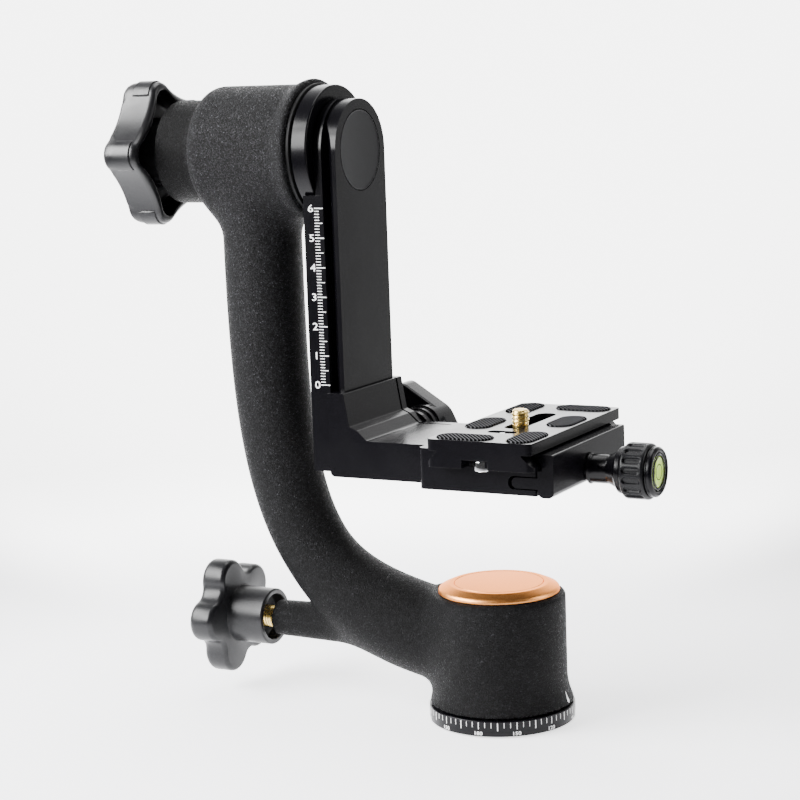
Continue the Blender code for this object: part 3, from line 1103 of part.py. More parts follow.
def make_plate():
    """Camera plate with its slots, six rubber pads, end stops, camera screw and clip."""
    middle = (PLATE_X, PLATE_Y, 0)
    half = PLATE_LENGTH / 2
    plate = extruded("camera_plate", dovetail_outline(), -half - OVERRUN, half + OVERRUN, middle, "Y",
                     SATIN_BLACK)
    room = DOVETAIL_WIDTH / 2 + BASE_EDGE
    corners = extruded("plate_corners", rounded_box(room, half, PLATE_CORNER), PLATE_FOOT - OVERRUN,
                       PLATE_TOP + OVERRUN, middle, "Z")
    combine(plate, corners, "INTERSECT")
    slot_middle = (SLOT_START + SLOT_FINISH) / 2
    slot_length = SLOT_FINISH - SLOT_START
    slot = extruded("camera_slot", stadium(slot_length, SLOT_WIDTH, 0, slot_middle, False),
                    PLATE_FOOT - OVERRUN, PLATE_TOP + OVERRUN, middle, "Z")
    pocket_length = slot_length + POCKET_WIDTH - SLOT_WIDTH
    pocket = extruded("head_pocket", stadium(pocket_length, POCKET_WIDTH, 0, slot_middle, False),
                      PLATE_FOOT - OVERRUN, PLATE_FOOT + POCKET_DEPTH, middle, "Z")
    cross = extruded("cross_slot", stadium(CROSS_SLOT_LENGTH, CROSS_SLOT_WIDTH, 0, CROSS_SLOT_Y),
                     PLATE_TOP - CROSS_SLOT_DEPTH, PLATE_TOP + OVERRUN, middle, "Z")
    cut(plate, slot, pocket, cross)
    stop_y = half - STOP_INSET
    for name, side in (("near", -1), ("far", 1)):
        shift = -side * NOTCH_SHIFT
        reach = STOP_INSET + STOP_RADIUS + GAP
        notch_low = (shift - NOTCH_WIDTH / 2, side * half - reach if side > 0 else -half - OVERRUN,
                     PLATE_FOOT - OVERRUN)
        notch_high = (shift + NOTCH_WIDTH / 2, half + OVERRUN if side > 0 else -half + reach,
                      PLATE_FOOT + NOTCH_HEIGHT)
        cut(plate, block(f"stop_notch_{name}", notch_low, notch_high, middle))
        head_low = PLATE_FOOT - STOP_DROP
        head_high = PLATE_FOOT + NOTCH_HEIGHT - GAP
        place = (PLATE_X, PLATE_Y + side * stop_y, 0)
        hole_high = head_high + STOP_HEIGHT + GAP
        hole = rod(f"stop_hole_{name}", STOP_RADIUS / 2 + GAP, PLATE_FOOT, hole_high, place, "Z", sides=12)
        cut(plate, hole)
        turned(
            f"plate_stop_{name}",
            [(0, hole_high - GAP), (STOP_RADIUS / 2, hole_high - GAP), (STOP_RADIUS / 2, head_high),
             (STOP_RADIUS, head_high), (STOP_RADIUS, head_low), (0, head_low)],
            place, "Z", CHROME, 16,
        )
    for index, (x, y, along_x) in enumerate(pad_places(), 1):
        place = (PLATE_X + x, PLATE_Y + y, 0)
        seat_outline = stadium(PAD_LENGTH + 2 * GAP, PAD_WIDTH + 2 * GAP, along_u=along_x)
        seat_low = PLATE_TOP - PAD_DEPTH
        cut(plate, extruded(f"pad_seat_{index}", seat_outline, seat_low, PLATE_TOP + OVERRUN, place, "Z"))
        extruded(f"plate_pad_{index}", stadium(PAD_LENGTH, PAD_WIDTH, along_u=along_x),
                 seat_low + GAP, PLATE_TOP + PAD_STAND, place, "Z", RUBBER_BLACK)
    pin_low = PLATE_TOP - CROSS_SLOT_DEPTH + GAP
    pin_place = (PLATE_X, PLATE_Y + CROSS_SLOT_Y, 0)
    rod("anti_twist_pin", PIN_RADIUS, pin_low, pin_low + PIN_HEIGHT, pin_place, "Z", CHROME, 12)
    make_camera_screw((PLATE_X, PLATE_Y + CAMERA_SCREW_Y, 0))


def make_camera_screw(place):
    """Brass screw with a ringed thread, held in the plate by a clip under its top."""
    clip_high = PLATE_FOOT + POCKET_DEPTH - GAP
    clip_low = clip_high - CLIP_THICKNESS
    head_high = clip_low - GAP
    head_low = head_high - CAMERA_HEAD_HEIGHT
    top = PLATE_TOP + CAMERA_SCREW_STAND
    core = CAMERA_SCREW_RADIUS - CAMERA_THREAD_DEPTH
    turns = int((top - PLATE_TOP) / CAMERA_THREAD_PITCH)
    thread = []
    for index in range(turns):
        height = top - index * CAMERA_THREAD_PITCH
        thread += [(core, height), (CAMERA_SCREW_RADIUS, height - CAMERA_THREAD_PITCH / 2)]
    thread += [(core, top - turns * CAMERA_THREAD_PITCH), (core, head_high)]
    turned(
        "camera_screw",
        [(0, top), *thread, (CAMERA_HEAD_RADIUS, head_high), (CAMERA_HEAD_RADIUS, head_low), (0, head_low)],
        place, "Z", BRASS, SMALL_SIDES,
    )
    tube("camera_screw_clip", core + GAP, CLIP_RADIUS, clip_low, clip_high, place, "Z", STEEL, SMALL_SIDES)


def make_pan_lock():
    """Five-lobed knob on a long rod that presses a brake shoe on the pan shaft."""
    shoe_right = -PAN_SHAFT_RADIUS - GAP
    shoe_left = shoe_right - SHOE_LENGTH
    rod("pan_brake_shoe", SHOE_RADIUS, shoe_left, shoe_right, BOSS_AXIS, "X", WHITE_NYLON, 16)
    rod_left = PAN_KNOB_LEFT + PAN_KNOB_ROD_ROOM
    rod("pan_lock_rod", ROD_RADIUS, rod_left, shoe_left - GAP, BOSS_AXIS, "X", BRASS, SMALL_SIDES)
    outline = star_outline(PAN_KNOB_LOBES, PAN_LOBE_CIRCLE, PAN_LOBE_RADIUS, PAN_KNOB_WAIST)
    knob = extruded("pan_lock_knob", outline, PAN_KNOB_LEFT, PAN_KNOB_RIGHT, BOSS_AXIS, "X", KNOB_BLACK)
    bevel(knob, KNOB_EDGE, 2)
    collar_start = PAN_KNOB_RIGHT - OVERRUN
    collar = rod("pan_collar", PAN_COLLAR_RADIUS, collar_start, PAN_COLLAR_END, BOSS_AXIS, "X", sides=32)
    join(knob, collar)
    recess = PAN_COLLAR_END - PAN_COLLAR_RECESS
    recess_radius = PAN_COLLAR_RADIUS - PAN_COLLAR_WALL
    bore = turned(
        "pan_knob_bore",
        [(0, PAN_COLLAR_END + OVERRUN), (recess_radius, PAN_COLLAR_END + OVERRUN), (recess_radius, recess),
         (ROD_RADIUS + GAP, recess), (ROD_RADIUS + GAP, rod_left - GAP), (0, rod_left - GAP)],
        BOSS_AXIS, "X", sides=24,
    )
    cut(knob, bore)


make_base()
make_arm()
make_pan_bearing()
make_tilt_bearings()
make_spindle()
make_rail()
make_tilt_clamp()
make_bracket()
make_height_lock()
make_jaw()
make_clamp_knob()
make_plate()
make_pan_lock()
print(f"Pan axis at x {SHIFT_X / MM:.2f}, y {SHIFT_Y / MM:.2f} mm")
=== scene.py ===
# %% [markdown]
# # A gimbal head, dressed
#
# The frame holds a working gimbal head as plain solids: a base, a bent arm, a rail that swings, a bracket
# with a clamp, and the knobs. This lesson gives each of them the surface of the real thing. Every surface
# is worked out with numpy, in millimetres from the pan axis, and becomes a mesh in metres at the end.

# %% Load the frame
import json
import math

import bmesh
import bpy
import numpy as np
from mathutils import Matrix, Vector


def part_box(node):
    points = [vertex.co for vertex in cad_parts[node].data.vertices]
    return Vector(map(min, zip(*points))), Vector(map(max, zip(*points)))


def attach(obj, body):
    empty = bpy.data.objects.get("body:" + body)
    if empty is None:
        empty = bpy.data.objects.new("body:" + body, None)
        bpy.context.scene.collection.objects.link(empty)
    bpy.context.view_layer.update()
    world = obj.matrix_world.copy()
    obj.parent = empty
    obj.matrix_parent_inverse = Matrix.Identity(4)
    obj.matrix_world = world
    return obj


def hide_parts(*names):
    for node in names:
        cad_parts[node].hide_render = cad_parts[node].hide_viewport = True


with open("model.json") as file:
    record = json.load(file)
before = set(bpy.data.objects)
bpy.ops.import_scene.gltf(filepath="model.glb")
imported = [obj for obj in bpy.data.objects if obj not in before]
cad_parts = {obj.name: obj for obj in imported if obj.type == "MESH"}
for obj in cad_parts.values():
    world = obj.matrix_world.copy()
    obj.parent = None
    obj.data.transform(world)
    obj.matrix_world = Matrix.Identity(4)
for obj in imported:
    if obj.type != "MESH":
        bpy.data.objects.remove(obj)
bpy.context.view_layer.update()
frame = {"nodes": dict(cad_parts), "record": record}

# %% [markdown]
# Everything is measured from the pan axis, where the foot of the round base meets the floor. The base is
# round, so the middle of its box is that axis. `span` reads any node's box in the same millimetres, and the
# new pieces take their sizes from it: the looks then follow the construction.

# %% Places
MM = 0.001
dial_low, dial_high = (np.array(corner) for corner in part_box("base_dial"))
PAN = (dial_low + dial_high) / 2 * (1, 1, 0)


def span(node):
    """Lowest and highest corner of a CAD node, in millimetres from the pan axis."""
    return [(np.array(corner) - PAN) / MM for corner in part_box(node)]


def radius_of(node):
    """Half the node's width across, along Y: the radius of a round piece on any of the axes used here."""
    low, high = span(node)
    return (high[1] - low[1]) / 2


# Pieces that touch in life stand this far apart.
GAP = 0.3
disc_low, disc_high = span("pivot_disc")
TILT_Z = (disc_low[2] + disc_high[2]) / 2
PAN_LINE = (0, 0, 0)
TILT_LINE = (0, 0, TILT_Z)
rod_low, rod_high = span("pan_lock_rod")
BOSS_Z = (rod_low[2] + rod_high[2]) / 2
BOSS_LINE = (0, 0, BOSS_Z)
screw_low, screw_high = span("clamp_screw")
CLAMP_LINE = (0, 0, (screw_low[2] + screw_high[2]) / 2)
lock_low, lock_high = span("height_lock_screw")
LOCK_LINE = ((lock_low[0] + lock_high[0]) / 2, 0, (lock_low[2] + lock_high[2]) / 2)
print(f"pan axis at {PAN * 1000}, tilt axis {TILT_Z:.2f} mm up")

# %% [markdown]
# Blender stores a mesh as a list of points and a list of faces. A surface could be pulled out of a cube by
# hand; here it is a grid of points from a formula: ring after ring along the piece, step after step round
# each ring. Neighbours on the grid make the faces. Where a ring shrinks to a single point its copies are
# merged, which closes the pole. A ring-shaped piece has no poles: its last ring meets its first.

# %% Helpers: from a grid to a mesh
ORDER = {"X": [2, 0, 1], "Y": [0, 2, 1], "Z": [0, 1, 2]}


def laid(points, along, centre=(0, 0, 0)):
    """Points given as (across, across, along) turned so that the last one runs along the axis."""
    return points[..., ORDER[along]] + np.array(centre, float)


def skin(grid, loop=False):
    """Corners and four-sided faces of a grid of shape (rings, steps, 3); each ring closes on itself."""
    rings, steps = grid.shape[:2]
    index = np.arange(rings * steps).reshape(rings, steps)
    low = index if loop else index[:-1]
    high = np.roll(index, -1, 0) if loop else index[1:]
    faces = np.stack([low, np.roll(low, -1, 1), np.roll(high, -1, 1), high], -1).reshape(-1, 4)
    return grid.reshape(-1, 3), faces.tolist()


def solid(name, points, faces, merge=0.002):
    """A mesh in metres, its doubles merged, its empty faces gone and its faces pointing out."""
    mesh = bpy.data.meshes.new(name)
    mesh.from_pydata((points * MM + PAN).tolist(), [], faces)
    shape = bmesh.new()
    shape.from_mesh(mesh)
    bmesh.ops.remove_doubles(shape, verts=shape.verts, dist=merge * MM)
    bmesh.ops.recalc_face_normals(shape, faces=shape.faces)
    shape.to_mesh(mesh)
    shape.free()
    piece = bpy.data.objects.new(name, mesh)
    bpy.context.scene.collection.objects.link(piece)
    return piece


print("a grid of 3 rings by 8 steps makes", len(skin(np.zeros((3, 8, 3)))[1]), "faces")

# %% [markdown]
# Lathe work and mouldings have no knife edges: each corner is broken by a small arc. A Bevel modifier could
# do that afterwards, with one width for all. `rounded` does it in the drawing: it takes the corners, each
# with its own fillet, and returns the line with the arcs in it. That thin arc is what gives a black machined
# part its bright outline under studio light.

# %% Helpers: lines with round corners
def rounded(corners, steps=5, loop=False):
    """A line through corners (u, v, fillet). Each arc touches both sides; its centre lies on the bisector."""
    spots = np.array(corners, float)
    line = []
    for index, (u, v, fillet) in enumerate(spots):
        here = np.array((u, v))
        at_end = not loop and index in (0, len(spots) - 1)
        if at_end or fillet <= 0:
            line.append(here[None])
            continue
        to_last = spots[index - 1, :2] - here
        to_next = spots[(index + 1) % len(spots), :2] - here
        to_last /= np.linalg.norm(to_last)
        to_next /= np.linalg.norm(to_next)
        half = np.arccos(np.clip(to_last @ to_next, -1, 1)) / 2
        bisector = (to_last + to_next) / np.linalg.norm(to_last + to_next)
        centre = here + bisector * fillet / np.sin(half)
        start = here + to_last * fillet / np.tan(half) - centre
        sweep = np.pi - 2 * half
        turn = np.linspace(0, 1, steps + 1)[:, None] * sweep
        side = here + to_next * fillet / np.tan(half) - centre - start * np.cos(sweep)
        side /= np.linalg.norm(side)
        line.append(centre + start * np.cos(turn) + side * fillet * np.sin(turn))
    return np.concatenate(line)


def circle_arc(centre, radius, start, finish, steps):
    """Points on a circle between two angles in degrees: centre + radius * (cosine, sine)."""
    turn = np.radians(np.linspace(start, finish, steps + 1))
    return np.array(centre) + radius * np.stack([np.cos(turn), np.sin(turn)], -1)


def stadium(length, width, steps=24):
    """A slot's outline: two half circles, a width apart, joined by straight sides along u."""
    shift = (length - width) / 2
    right = circle_arc((shift, 0), width / 2, -90, 90, steps)
    left = circle_arc((-shift, 0), width / 2, 90, 270, steps)
    return np.concatenate([right, left])


print("a slot's outline has", len(stadium(20, 8)), "points")

# %% [markdown]
# Two shapes make most of this head. A turned piece is a profile swept round an axis, as on a lathe. Blender's
# Screw modifier could sweep it, but with the whole grid in hand every ring's place is known. A pressed piece
# is a flat outline given a thickness, whose rim can be drawn in layer by layer to round its edge.

# %% Helpers: turned and pressed pieces
def turned(profile, along, centre, steps=128):
    """A profile of (radius, distance) at every angle: radius * (cosine, sine), with the distance along."""
    angle = np.linspace(0, 2 * np.pi, steps, endpoint=False)
    radius, distance = profile[:, :1], profile[:, 1:]
    grid = np.stack([radius * np.cos(angle), radius * np.sin(angle), distance + 0 * angle], -1)
    return laid(grid, along, centre)


def lathe(name, corners, along, centre, steps=128, loop=False, fillet_steps=5):
    """A solid of revolution from drawn corners (radius, distance, fillet)."""
    profile = rounded(corners, fillet_steps, loop)
    return solid(name, *skin(turned(profile, along, centre, steps), loop))


def outward(outline):
    """The unit normal at each point of a closed outline, square to the line between its neighbours."""
    run = np.roll(outline, -1, 0) - np.roll(outline, 1, 0)
    normal = np.stack([run[:, 1], -run[:, 0]], -1)
    area = np.sum(outline[:, 0] * np.roll(outline[:, 1], -1) - np.roll(outline[:, 0], -1) * outline[:, 1])
    return normal / np.linalg.norm(normal, axis=1, keepdims=True) * np.sign(area)


def pressed(name, outline, layers, along, centre=(0, 0, 0)):
    """A flat piece: its outline, pulled in by each layer's inset at that layer's height; both ends filled."""
    layers = np.array(layers, float)
    rings = outline - layers[:, :1, None] * outward(outline)
    heights = np.broadcast_to(layers[:, 1:, None], rings.shape[:2] + (1,))
    points, faces = skin(laid(np.concatenate([rings, heights], -1), along, centre))
    count = len(outline)
    caps = [list(range(count)), list(range(len(points) - count, len(points)))]
    return solid(name, points, faces + caps)


def edged(low, high, edge, steps=3):
    """Layers from low to high with a round edge at both ends: inset = edge * (1 - sine)."""
    turn = np.linspace(0, np.pi / 2, steps + 1)
    bottom = np.stack([edge * (1 - np.sin(turn)), low + edge * (1 - np.cos(turn))], -1)
    top = np.stack([bottom[::-1, 0], high - (bottom[::-1, 1] - low)], -1)
    return np.concatenate([bottom, top])


print("a round edge at both ends takes", len(edged(0, 10, 1)), "layers")

# %% [markdown]
# Pockets, slots and channels are milled on the real parts, so they are cut here too. A Boolean modifier that
# stays live keeps its cutter in the scene; `carve` uses Blender's exact solver at once and keeps only the
# result. A narrow bevel then breaks every sharp edge, as a file or a tumbling drum would.

# %% Helpers: cutting and breaking edges
CLEAR = 4
SHARP = 35


def carve(piece, *tools, operation="DIFFERENCE"):
    """Cuts the tools from the piece, or joins them to it, and keeps the result as its mesh."""
    for tool in tools:
        step = piece.modifiers.new("carve", "BOOLEAN")
        step.operation = operation
        step.solver = "EXACT"
        step.object = tool
        graph = bpy.context.evaluated_depsgraph_get()
        mesh = bpy.data.meshes.new_from_object(piece.evaluated_get(graph))
        piece.modifiers.clear()
        piece.data = mesh
        bpy.data.objects.remove(tool, do_unlink=True)
    return piece


def slab(outline, low, high, along, centre=(0, 0, 0)):
    """A plain straight-sided tool or blank."""
    return pressed("slab", np.array(outline, float), [(0, low), (0, high)], along, centre)


def brick(low, high):
    """A box between two corners."""
    (x0, y0, z0), (x1, y1, z1) = low, high
    return slab([(x0, y0), (x1, y0), (x1, y1), (x0, y1)], z0, z1, "Z")


def plug(radius, low, high, along, centre, steps=96):
    """A round tool for holes and recesses."""
    return slab(circle_arc((0, 0), radius, 0, 360, steps)[:-1], low, high, along, centre)


def soften(piece, width, segments=2):
    """A bevel on every sharp edge, after points closer than a hair are merged and flat faces joined."""
    shape = bmesh.new()
    shape.from_mesh(piece.data)
    bmesh.ops.remove_doubles(shape, verts=shape.verts, dist=0.01 * MM)
    bmesh.ops.dissolve_limit(shape, angle_limit=math.radians(0.2), verts=shape.verts, edges=shape.edges)
    shape.to_mesh(piece.data)
    shape.free()
    edge = piece.modifiers.new("broken_edge", "BEVEL")
    edge.width = width * MM
    edge.segments = segments
    edge.limit_method = "ANGLE"
    edge.angle_limit = math.radians(SHARP)
    edge.miter_outer = "MITER_ARC"
    edge.use_clamp_overlap = True
    return piece


print(f"tools run {CLEAR} mm past the metal; edges sharper than {SHARP} degrees are broken")

# %% [markdown]
# ## Finishes
#
# A finish is a Principled shader with a pattern under it, because no real surface is one flat colour. An
# image could carry the pattern, but it would have to be unwrapped onto every piece. Textures that Blender
# works out need no unwrapping: they read Object coordinates, which are metres here. The helpers of this cell
# add a node, link two nodes, and start a material from its plain values.

# %% Helpers: building a finish
FINISH = {}


def add(material, kind, **values):
    """A node with the given settings: a key that names an input sets that input, any other an attribute."""
    node = material.node_tree.nodes.new("ShaderNode" + kind)
    for key, value in values.items():
        label = key.replace("_", " ")
        if label in node.inputs:
            node.inputs[label].default_value = value
        else:
            setattr(node, key, value)
    return node


def wire(material, source, out, target, into):
    """A link from one node's output to another node's input."""
    material.node_tree.links.new(source.outputs[out], target.inputs[into])


def principled(name, colour, roughness, metallic=0.0, **sockets):
    """A finish with its plain values set on the shader's own sockets."""
    material = bpy.data.materials.new(name)
    material.use_nodes = True
    shader = material.node_tree.nodes["Principled BSDF"]
    shader.inputs["Base Color"].default_value = (*colour, 1)
    shader.inputs["Roughness"].default_value = roughness
    shader.inputs["Metallic"].default_value = metallic
    for key, value in sockets.items():
        shader.inputs[key.replace("_", " ")].default_value = value
    FINISH[name] = material
    return material, shader


# %% [markdown]
# Four small helpers draw a finish. `pattern` lays a texture on Object coordinates, `grain` turns it into
# bumps, `drift` lets a colour or a gloss wander with it, and `fade` paints shade by where a point lies.

# %% Helpers: patterns under a finish
def pattern(material, kind, stretch=(1, 1, 1), turn=0.0, **values):
    """A texture on Object coordinates, stretched along its axes and turned about Z by a Mapping node."""
    place = add(material, "TexCoord")
    mapping = add(material, "Mapping")
    mapping.inputs["Scale"].default_value = stretch
    mapping.inputs["Rotation"].default_value = (0, 0, turn)
    texture = add(material, kind, **values)
    wire(material, place, "Object", mapping, "Vector")
    wire(material, mapping, "Vector", texture, "Vector")
    return texture


def grain(material, shader, texture, out, strength, depth):
    """Bumps from a texture, added to those that the shader already has; depth is in millimetres."""
    bump = add(material, "Bump", Strength=strength, Distance=depth * MM)
    wire(material, texture, out, bump, "Height")
    earlier = shader.inputs["Normal"].links
    if earlier:
        material.node_tree.links.new(earlier[0].from_socket, bump.inputs["Normal"])
    wire(material, bump, "Normal", shader, "Normal")


def drift(material, texture, out, shader, socket, low, high, start=0.35, finish=0.65):
    """Runs from low to high with the texture: a colour goes through a ramp, a number through a range."""
    if isinstance(low, tuple):
        ramp = add(material, "ValToRGB")
        ramp.color_ramp.elements[0].position = start
        ramp.color_ramp.elements[0].color = (*low, 1)
        ramp.color_ramp.elements[1].position = finish
        ramp.color_ramp.elements[1].color = (*high, 1)
        wire(material, texture, out, ramp, "Fac")
        wire(material, ramp, "Color", shader, socket)
        return ramp
    scale = add(material, "MapRange", From_Min=start, From_Max=finish, To_Min=low, To_Max=high)
    wire(material, texture, out, scale, "Value")
    wire(material, scale, "Result", shader, socket)
    return scale


def fade(material, shader, axis, start, finish, low):
    """Painted shade: the base colour times a share from low to 1 between two places, in mm from the pan."""
    offset = PAN["XYZ".index(axis)]
    place = add(material, "TexCoord")
    axes = add(material, "SeparateXYZ")
    share = add(material, "MapRange", To_Min=low, To_Max=1.0)
    share.inputs["From Min"].default_value = offset + start * MM
    share.inputs["From Max"].default_value = offset + finish * MM
    shade = add(material, "VectorMath", operation="SCALE")
    wire(material, place, "Object", axes, "Vector")
    wire(material, axes, axis, share, "Value")
    material.node_tree.links.new(shader.inputs["Base Color"].links[0].from_socket, shade.inputs[0])
    wire(material, share, "Result", shade, "Scale")
    wire(material, shade, "Vector", shader, "Base Color")


print("a texture scale of 1000 has features of about", round(1 / 1000 / MM), "mm")

# %% [markdown]
# The casting is coated with crinkle paint: a matt black skin of fine grains, a few of which catch the light.
# A picture of such a skin would stretch round the bends. A Voronoi texture fills space with cells, so every
# grain keeps its size wherever the surface turns: the distance in the cell makes the bump, the cell's random
# colour makes the grain's tone, and the few brightest cells get a lower roughness and a lighter colour, a
# painted glint. A noise makes the skin uneven. Two ramps, along X and along Z, darken the coat as painted
# shade: darker on the neck behind the knob, where its shadow falls, and darker towards the bottom.

# %% The crinkle coat
GRAIN_SCALE, RIPPLE_SCALE = 2900, 1700
DARK_GRAIN, LIGHT_GRAIN, PAINTED_GLINT = (0.0045, 0.0045, 0.0047), (0.023, 0.023, 0.025), (0.08, 0.08, 0.09)
crinkle, shader = principled("crinkle_black", (0.009, 0.009, 0.010), 0.60, Specular_IOR_Level=0.08)
grains = pattern(crinkle, "TexVoronoi", Scale=GRAIN_SCALE)
ripple = pattern(crinkle, "TexNoise", Scale=RIPPLE_SCALE, Detail=3, Roughness=0.6)
grain(crinkle, shader, ripple, "Fac", 0.8, 0.5)
grain(crinkle, shader, grains, "Distance", 0.7, -0.35)
tones = drift(crinkle, grains, "Color", shader, "Base Color", DARK_GRAIN, LIGHT_GRAIN, 0.40, 0.86)
# The brightest cells are painted lighter, a painted glint; the next line gives them a real lower roughness.
tones.color_ramp.elements.new(0.96).color = (*PAINTED_GLINT, 1)
drift(crinkle, grains, "Color", shader, "Roughness", 0.60, 0.25, 0.72, 0.86)
# Painted shade: the neck behind the tilt knob is darkened where the knob's shadow falls.
fade(crinkle, shader, "X", -107.7, -103.7, 0.22)
# Painted shade: the coat is darker towards the bottom of the casting.
fade(crinkle, shader, "Z", 40.0, 175.0, 0.34)
print("crinkle coat: a grain about every", round(1000 / GRAIN_SCALE, 2), "mm")

# %% [markdown]
# The machined parts are anodised black. The film is thin and a little translucent, so the fine marks of the
# cutter show in the gloss more than in the colour. The colour is close to zero: what is seen of such a part
# is the room that it mirrors.

# %% Anodised black
satin, shader = principled("satin_black", (0.003, 0.003, 0.004), 0.21, Specular_IOR_Level=0.16)
blasted = pattern(satin, "TexNoise", Scale=4200, Detail=2)
cloud = pattern(satin, "TexNoise", Scale=60, Detail=3)
grain(satin, shader, blasted, "Fac", 0.12, 0.05)
drift(satin, blasted, "Fac", shader, "Base Color", (0.0014, 0.0013, 0.0020), (0.0034, 0.0032, 0.0044))
drift(satin, cloud, "Fac", shader, "Roughness", 0.19, 0.24)
print("anodised black made")

# %% [markdown]
# The two star knobs are moulded plastic with a fine die texture. Their gloss drifts in clouds the size of a
# fingertip, as plastic does that has cooled unevenly. The knob at the foot is the duller one.

# %% Moulded black
for name, shine in (("knob_black", 0.45), ("low_knob_black", 0.33)):
    plastic, shader = principled(name, (0.006, 0.006, 0.007), 0.30, Specular_IOR_Level=shine)
    skin_marks = pattern(plastic, "TexNoise", Scale=1500, Detail=3)
    cloud = pattern(plastic, "TexNoise", Scale=110, Detail=2)
    grain(plastic, shader, skin_marks, "Fac", 0.08, 0.06)
    drift(plastic, cloud, "Fac", shader, "Roughness", 0.29, 0.40)
    drift(plastic, skin_marks, "Fac", shader, "Base Color", (0.005, 0.005, 0.006), (0.009, 0.009, 0.010))
    print(name, "made")

# %% [markdown]
# There are three rubbers. Washers and seals have a plain dull one with pores. The ring of the clamp knob is
# pressed in a polished die, so it is glossier. The plate's pads are ribbed in their mesh, but relief alone
# fades in light that grazes it, so a wave texture in step with the ribs paints narrow light bands on the
# ridges and dark ones in the grooves: a painted highlight and painted shade. The inlay in the rail's
# face is a hard grey disc with a fine grain.

# %% Rubber and inlay
rubber, shader = principled("rubber_black", (0.006, 0.006, 0.006), 0.50, Specular_IOR_Level=0.14)
pores = pattern(rubber, "TexNoise", Scale=2600, Detail=3)
grain(rubber, shader, pores, "Fac", 0.25, 0.08)
drift(rubber, pores, "Fac", shader, "Base Color", (0.004, 0.004, 0.004), (0.009, 0.009, 0.010))

moulded, shader = principled("ring_rubber", (0.006, 0.006, 0.007), 0.28, Specular_IOR_Level=0.17)
skin_marks = pattern(moulded, "TexNoise", Scale=1800, Detail=3)
grain(moulded, shader, skin_marks, "Fac", 0.15, 0.06)
drift(moulded, skin_marks, "Fac", shader, "Roughness", 0.24, 0.36)

RIB_PITCH, RIB_TURN = 1.15, math.radians(-51)
ribbed, shader = principled("pad_rubber", (0.006, 0.006, 0.006), 0.60, Specular_IOR_Level=0.0)
WAVE_SCALE = math.pi / (10 * RIB_PITCH * MM)
ribs = pattern(ribbed, "TexWave", turn=-RIB_TURN - math.pi / 2, Scale=WAVE_SCALE)
# Painted highlight and shade: light bands on the rib tops, dark bands in the grooves.
drift(ribbed, ribs, "Fac", shader, "Base Color", (0.085, 0.085, 0.090), (0.002, 0.002, 0.002), 0.10, 0.44)

inlay, shader = principled("inlay_grey", (0.009, 0.009, 0.010), 0.40, Specular_IOR_Level=0.16)
pores = pattern(inlay, "TexNoise", Scale=3000, Detail=2)
grain(inlay, shader, pores, "Fac", 0.15, 0.05)
drift(inlay, pores, "Fac", shader, "Base Color", (0.007, 0.007, 0.008), (0.012, 0.012, 0.014))
print(f"rubbers and inlay made, with a rib every {RIB_PITCH} mm")

# %% [markdown]
# The cap is aluminium under a copper-coloured dye. Seen flat it is pale and pink, because it mirrors the
# white room; where it turns down at the rim it goes to deep orange. Painting those two tones would be wrong
# from any other side, and a metal shader makes them by itself. Brass, bronze, steel and chrome differ only in
# colour, gloss and the marks left on them.

# %% Coloured and bright metals
copper, shader = principled("copper", (0.80, 0.32, 0.10), 0.36, 1.0, Specular_Tint=(1.0, 0.62, 0.48, 1))
blasted = pattern(copper, "TexNoise", Scale=2600, Detail=3)
grain(copper, shader, blasted, "Fac", 0.28, 0.06)
drift(copper, blasted, "Fac", shader, "Base Color", (0.76, 0.28, 0.07), (0.88, 0.40, 0.13))
drift(copper, blasted, "Fac", shader, "Roughness", 0.32, 0.42)

for name, tone, roughness, marks in (
    ("brass", (1.0, 0.74, 0.26), 0.26, 0.10), ("bronze", (0.52, 0.34, 0.16), 0.42, 0.20),
    ("steel", (0.56, 0.56, 0.58), 0.28, 0.10), ("chrome", (0.82, 0.82, 0.83), 0.07, 0.02),
):
    metal, shader = principled(name, tone, roughness, 1.0)
    scratches = pattern(metal, "TexNoise", (1, 1, 6), Scale=900, Detail=4)
    shade = tuple(0.86 * channel for channel in tone)
    grain(metal, shader, scratches, "Fac", marks, 0.05)
    drift(metal, scratches, "Fac", shader, "Base Color", shade, tone)
    drift(metal, scratches, "Fac", shader, "Roughness", roughness * 0.85, roughness * 1.25)
print("metals made")

# %% [markdown]
# What is left: nylon for the brake shoe and the thrust washer, white ink for the scales, and the spirit
# level, whose green liquid lies under a clear lens. The liquid has a little emission, a painted glow.

# %% Nylon, ink and the level's liquid
nylon, shader = principled("nylon", (0.74, 0.74, 0.71), 0.5, Subsurface_Weight=0.1)
cloud = pattern(nylon, "TexNoise", Scale=500, Detail=2)
drift(nylon, cloud, "Fac", shader, "Base Color", (0.68, 0.68, 0.64), (0.80, 0.80, 0.77))

ink, shader = principled("ink", (0.80, 0.80, 0.80), 0.55)
worn = pattern(ink, "TexNoise", Scale=2400, Detail=3)
drift(ink, worn, "Fac", shader, "Base Color", (0.62, 0.62, 0.62), (0.92, 0.92, 0.92), 0.30, 0.50)

# Painted glow: a little emission in the liquid's own green.
liquid, shader = principled("liquid", (0.58, 0.86, 0.04), 0.25, Emission_Strength=0.9)
shader.inputs["Emission Color"].default_value = (0.60, 0.90, 0.03, 1)
cloud = pattern(liquid, "TexNoise", Scale=160, Detail=1)
drift(liquid, cloud, "Fac", shader, "Base Color", (0.52, 0.80, 0.03), (0.66, 0.93, 0.08))

clear, shader = principled("clear", (1, 1, 1), 0.04, Transmission_Weight=1.0, IOR=1.46)
smear = pattern(clear, "TexNoise", Scale=260, Detail=2)
drift(clear, smear, "Fac", shader, "Roughness", 0.02, 0.08)
print("nylon, ink, liquid and lens made")
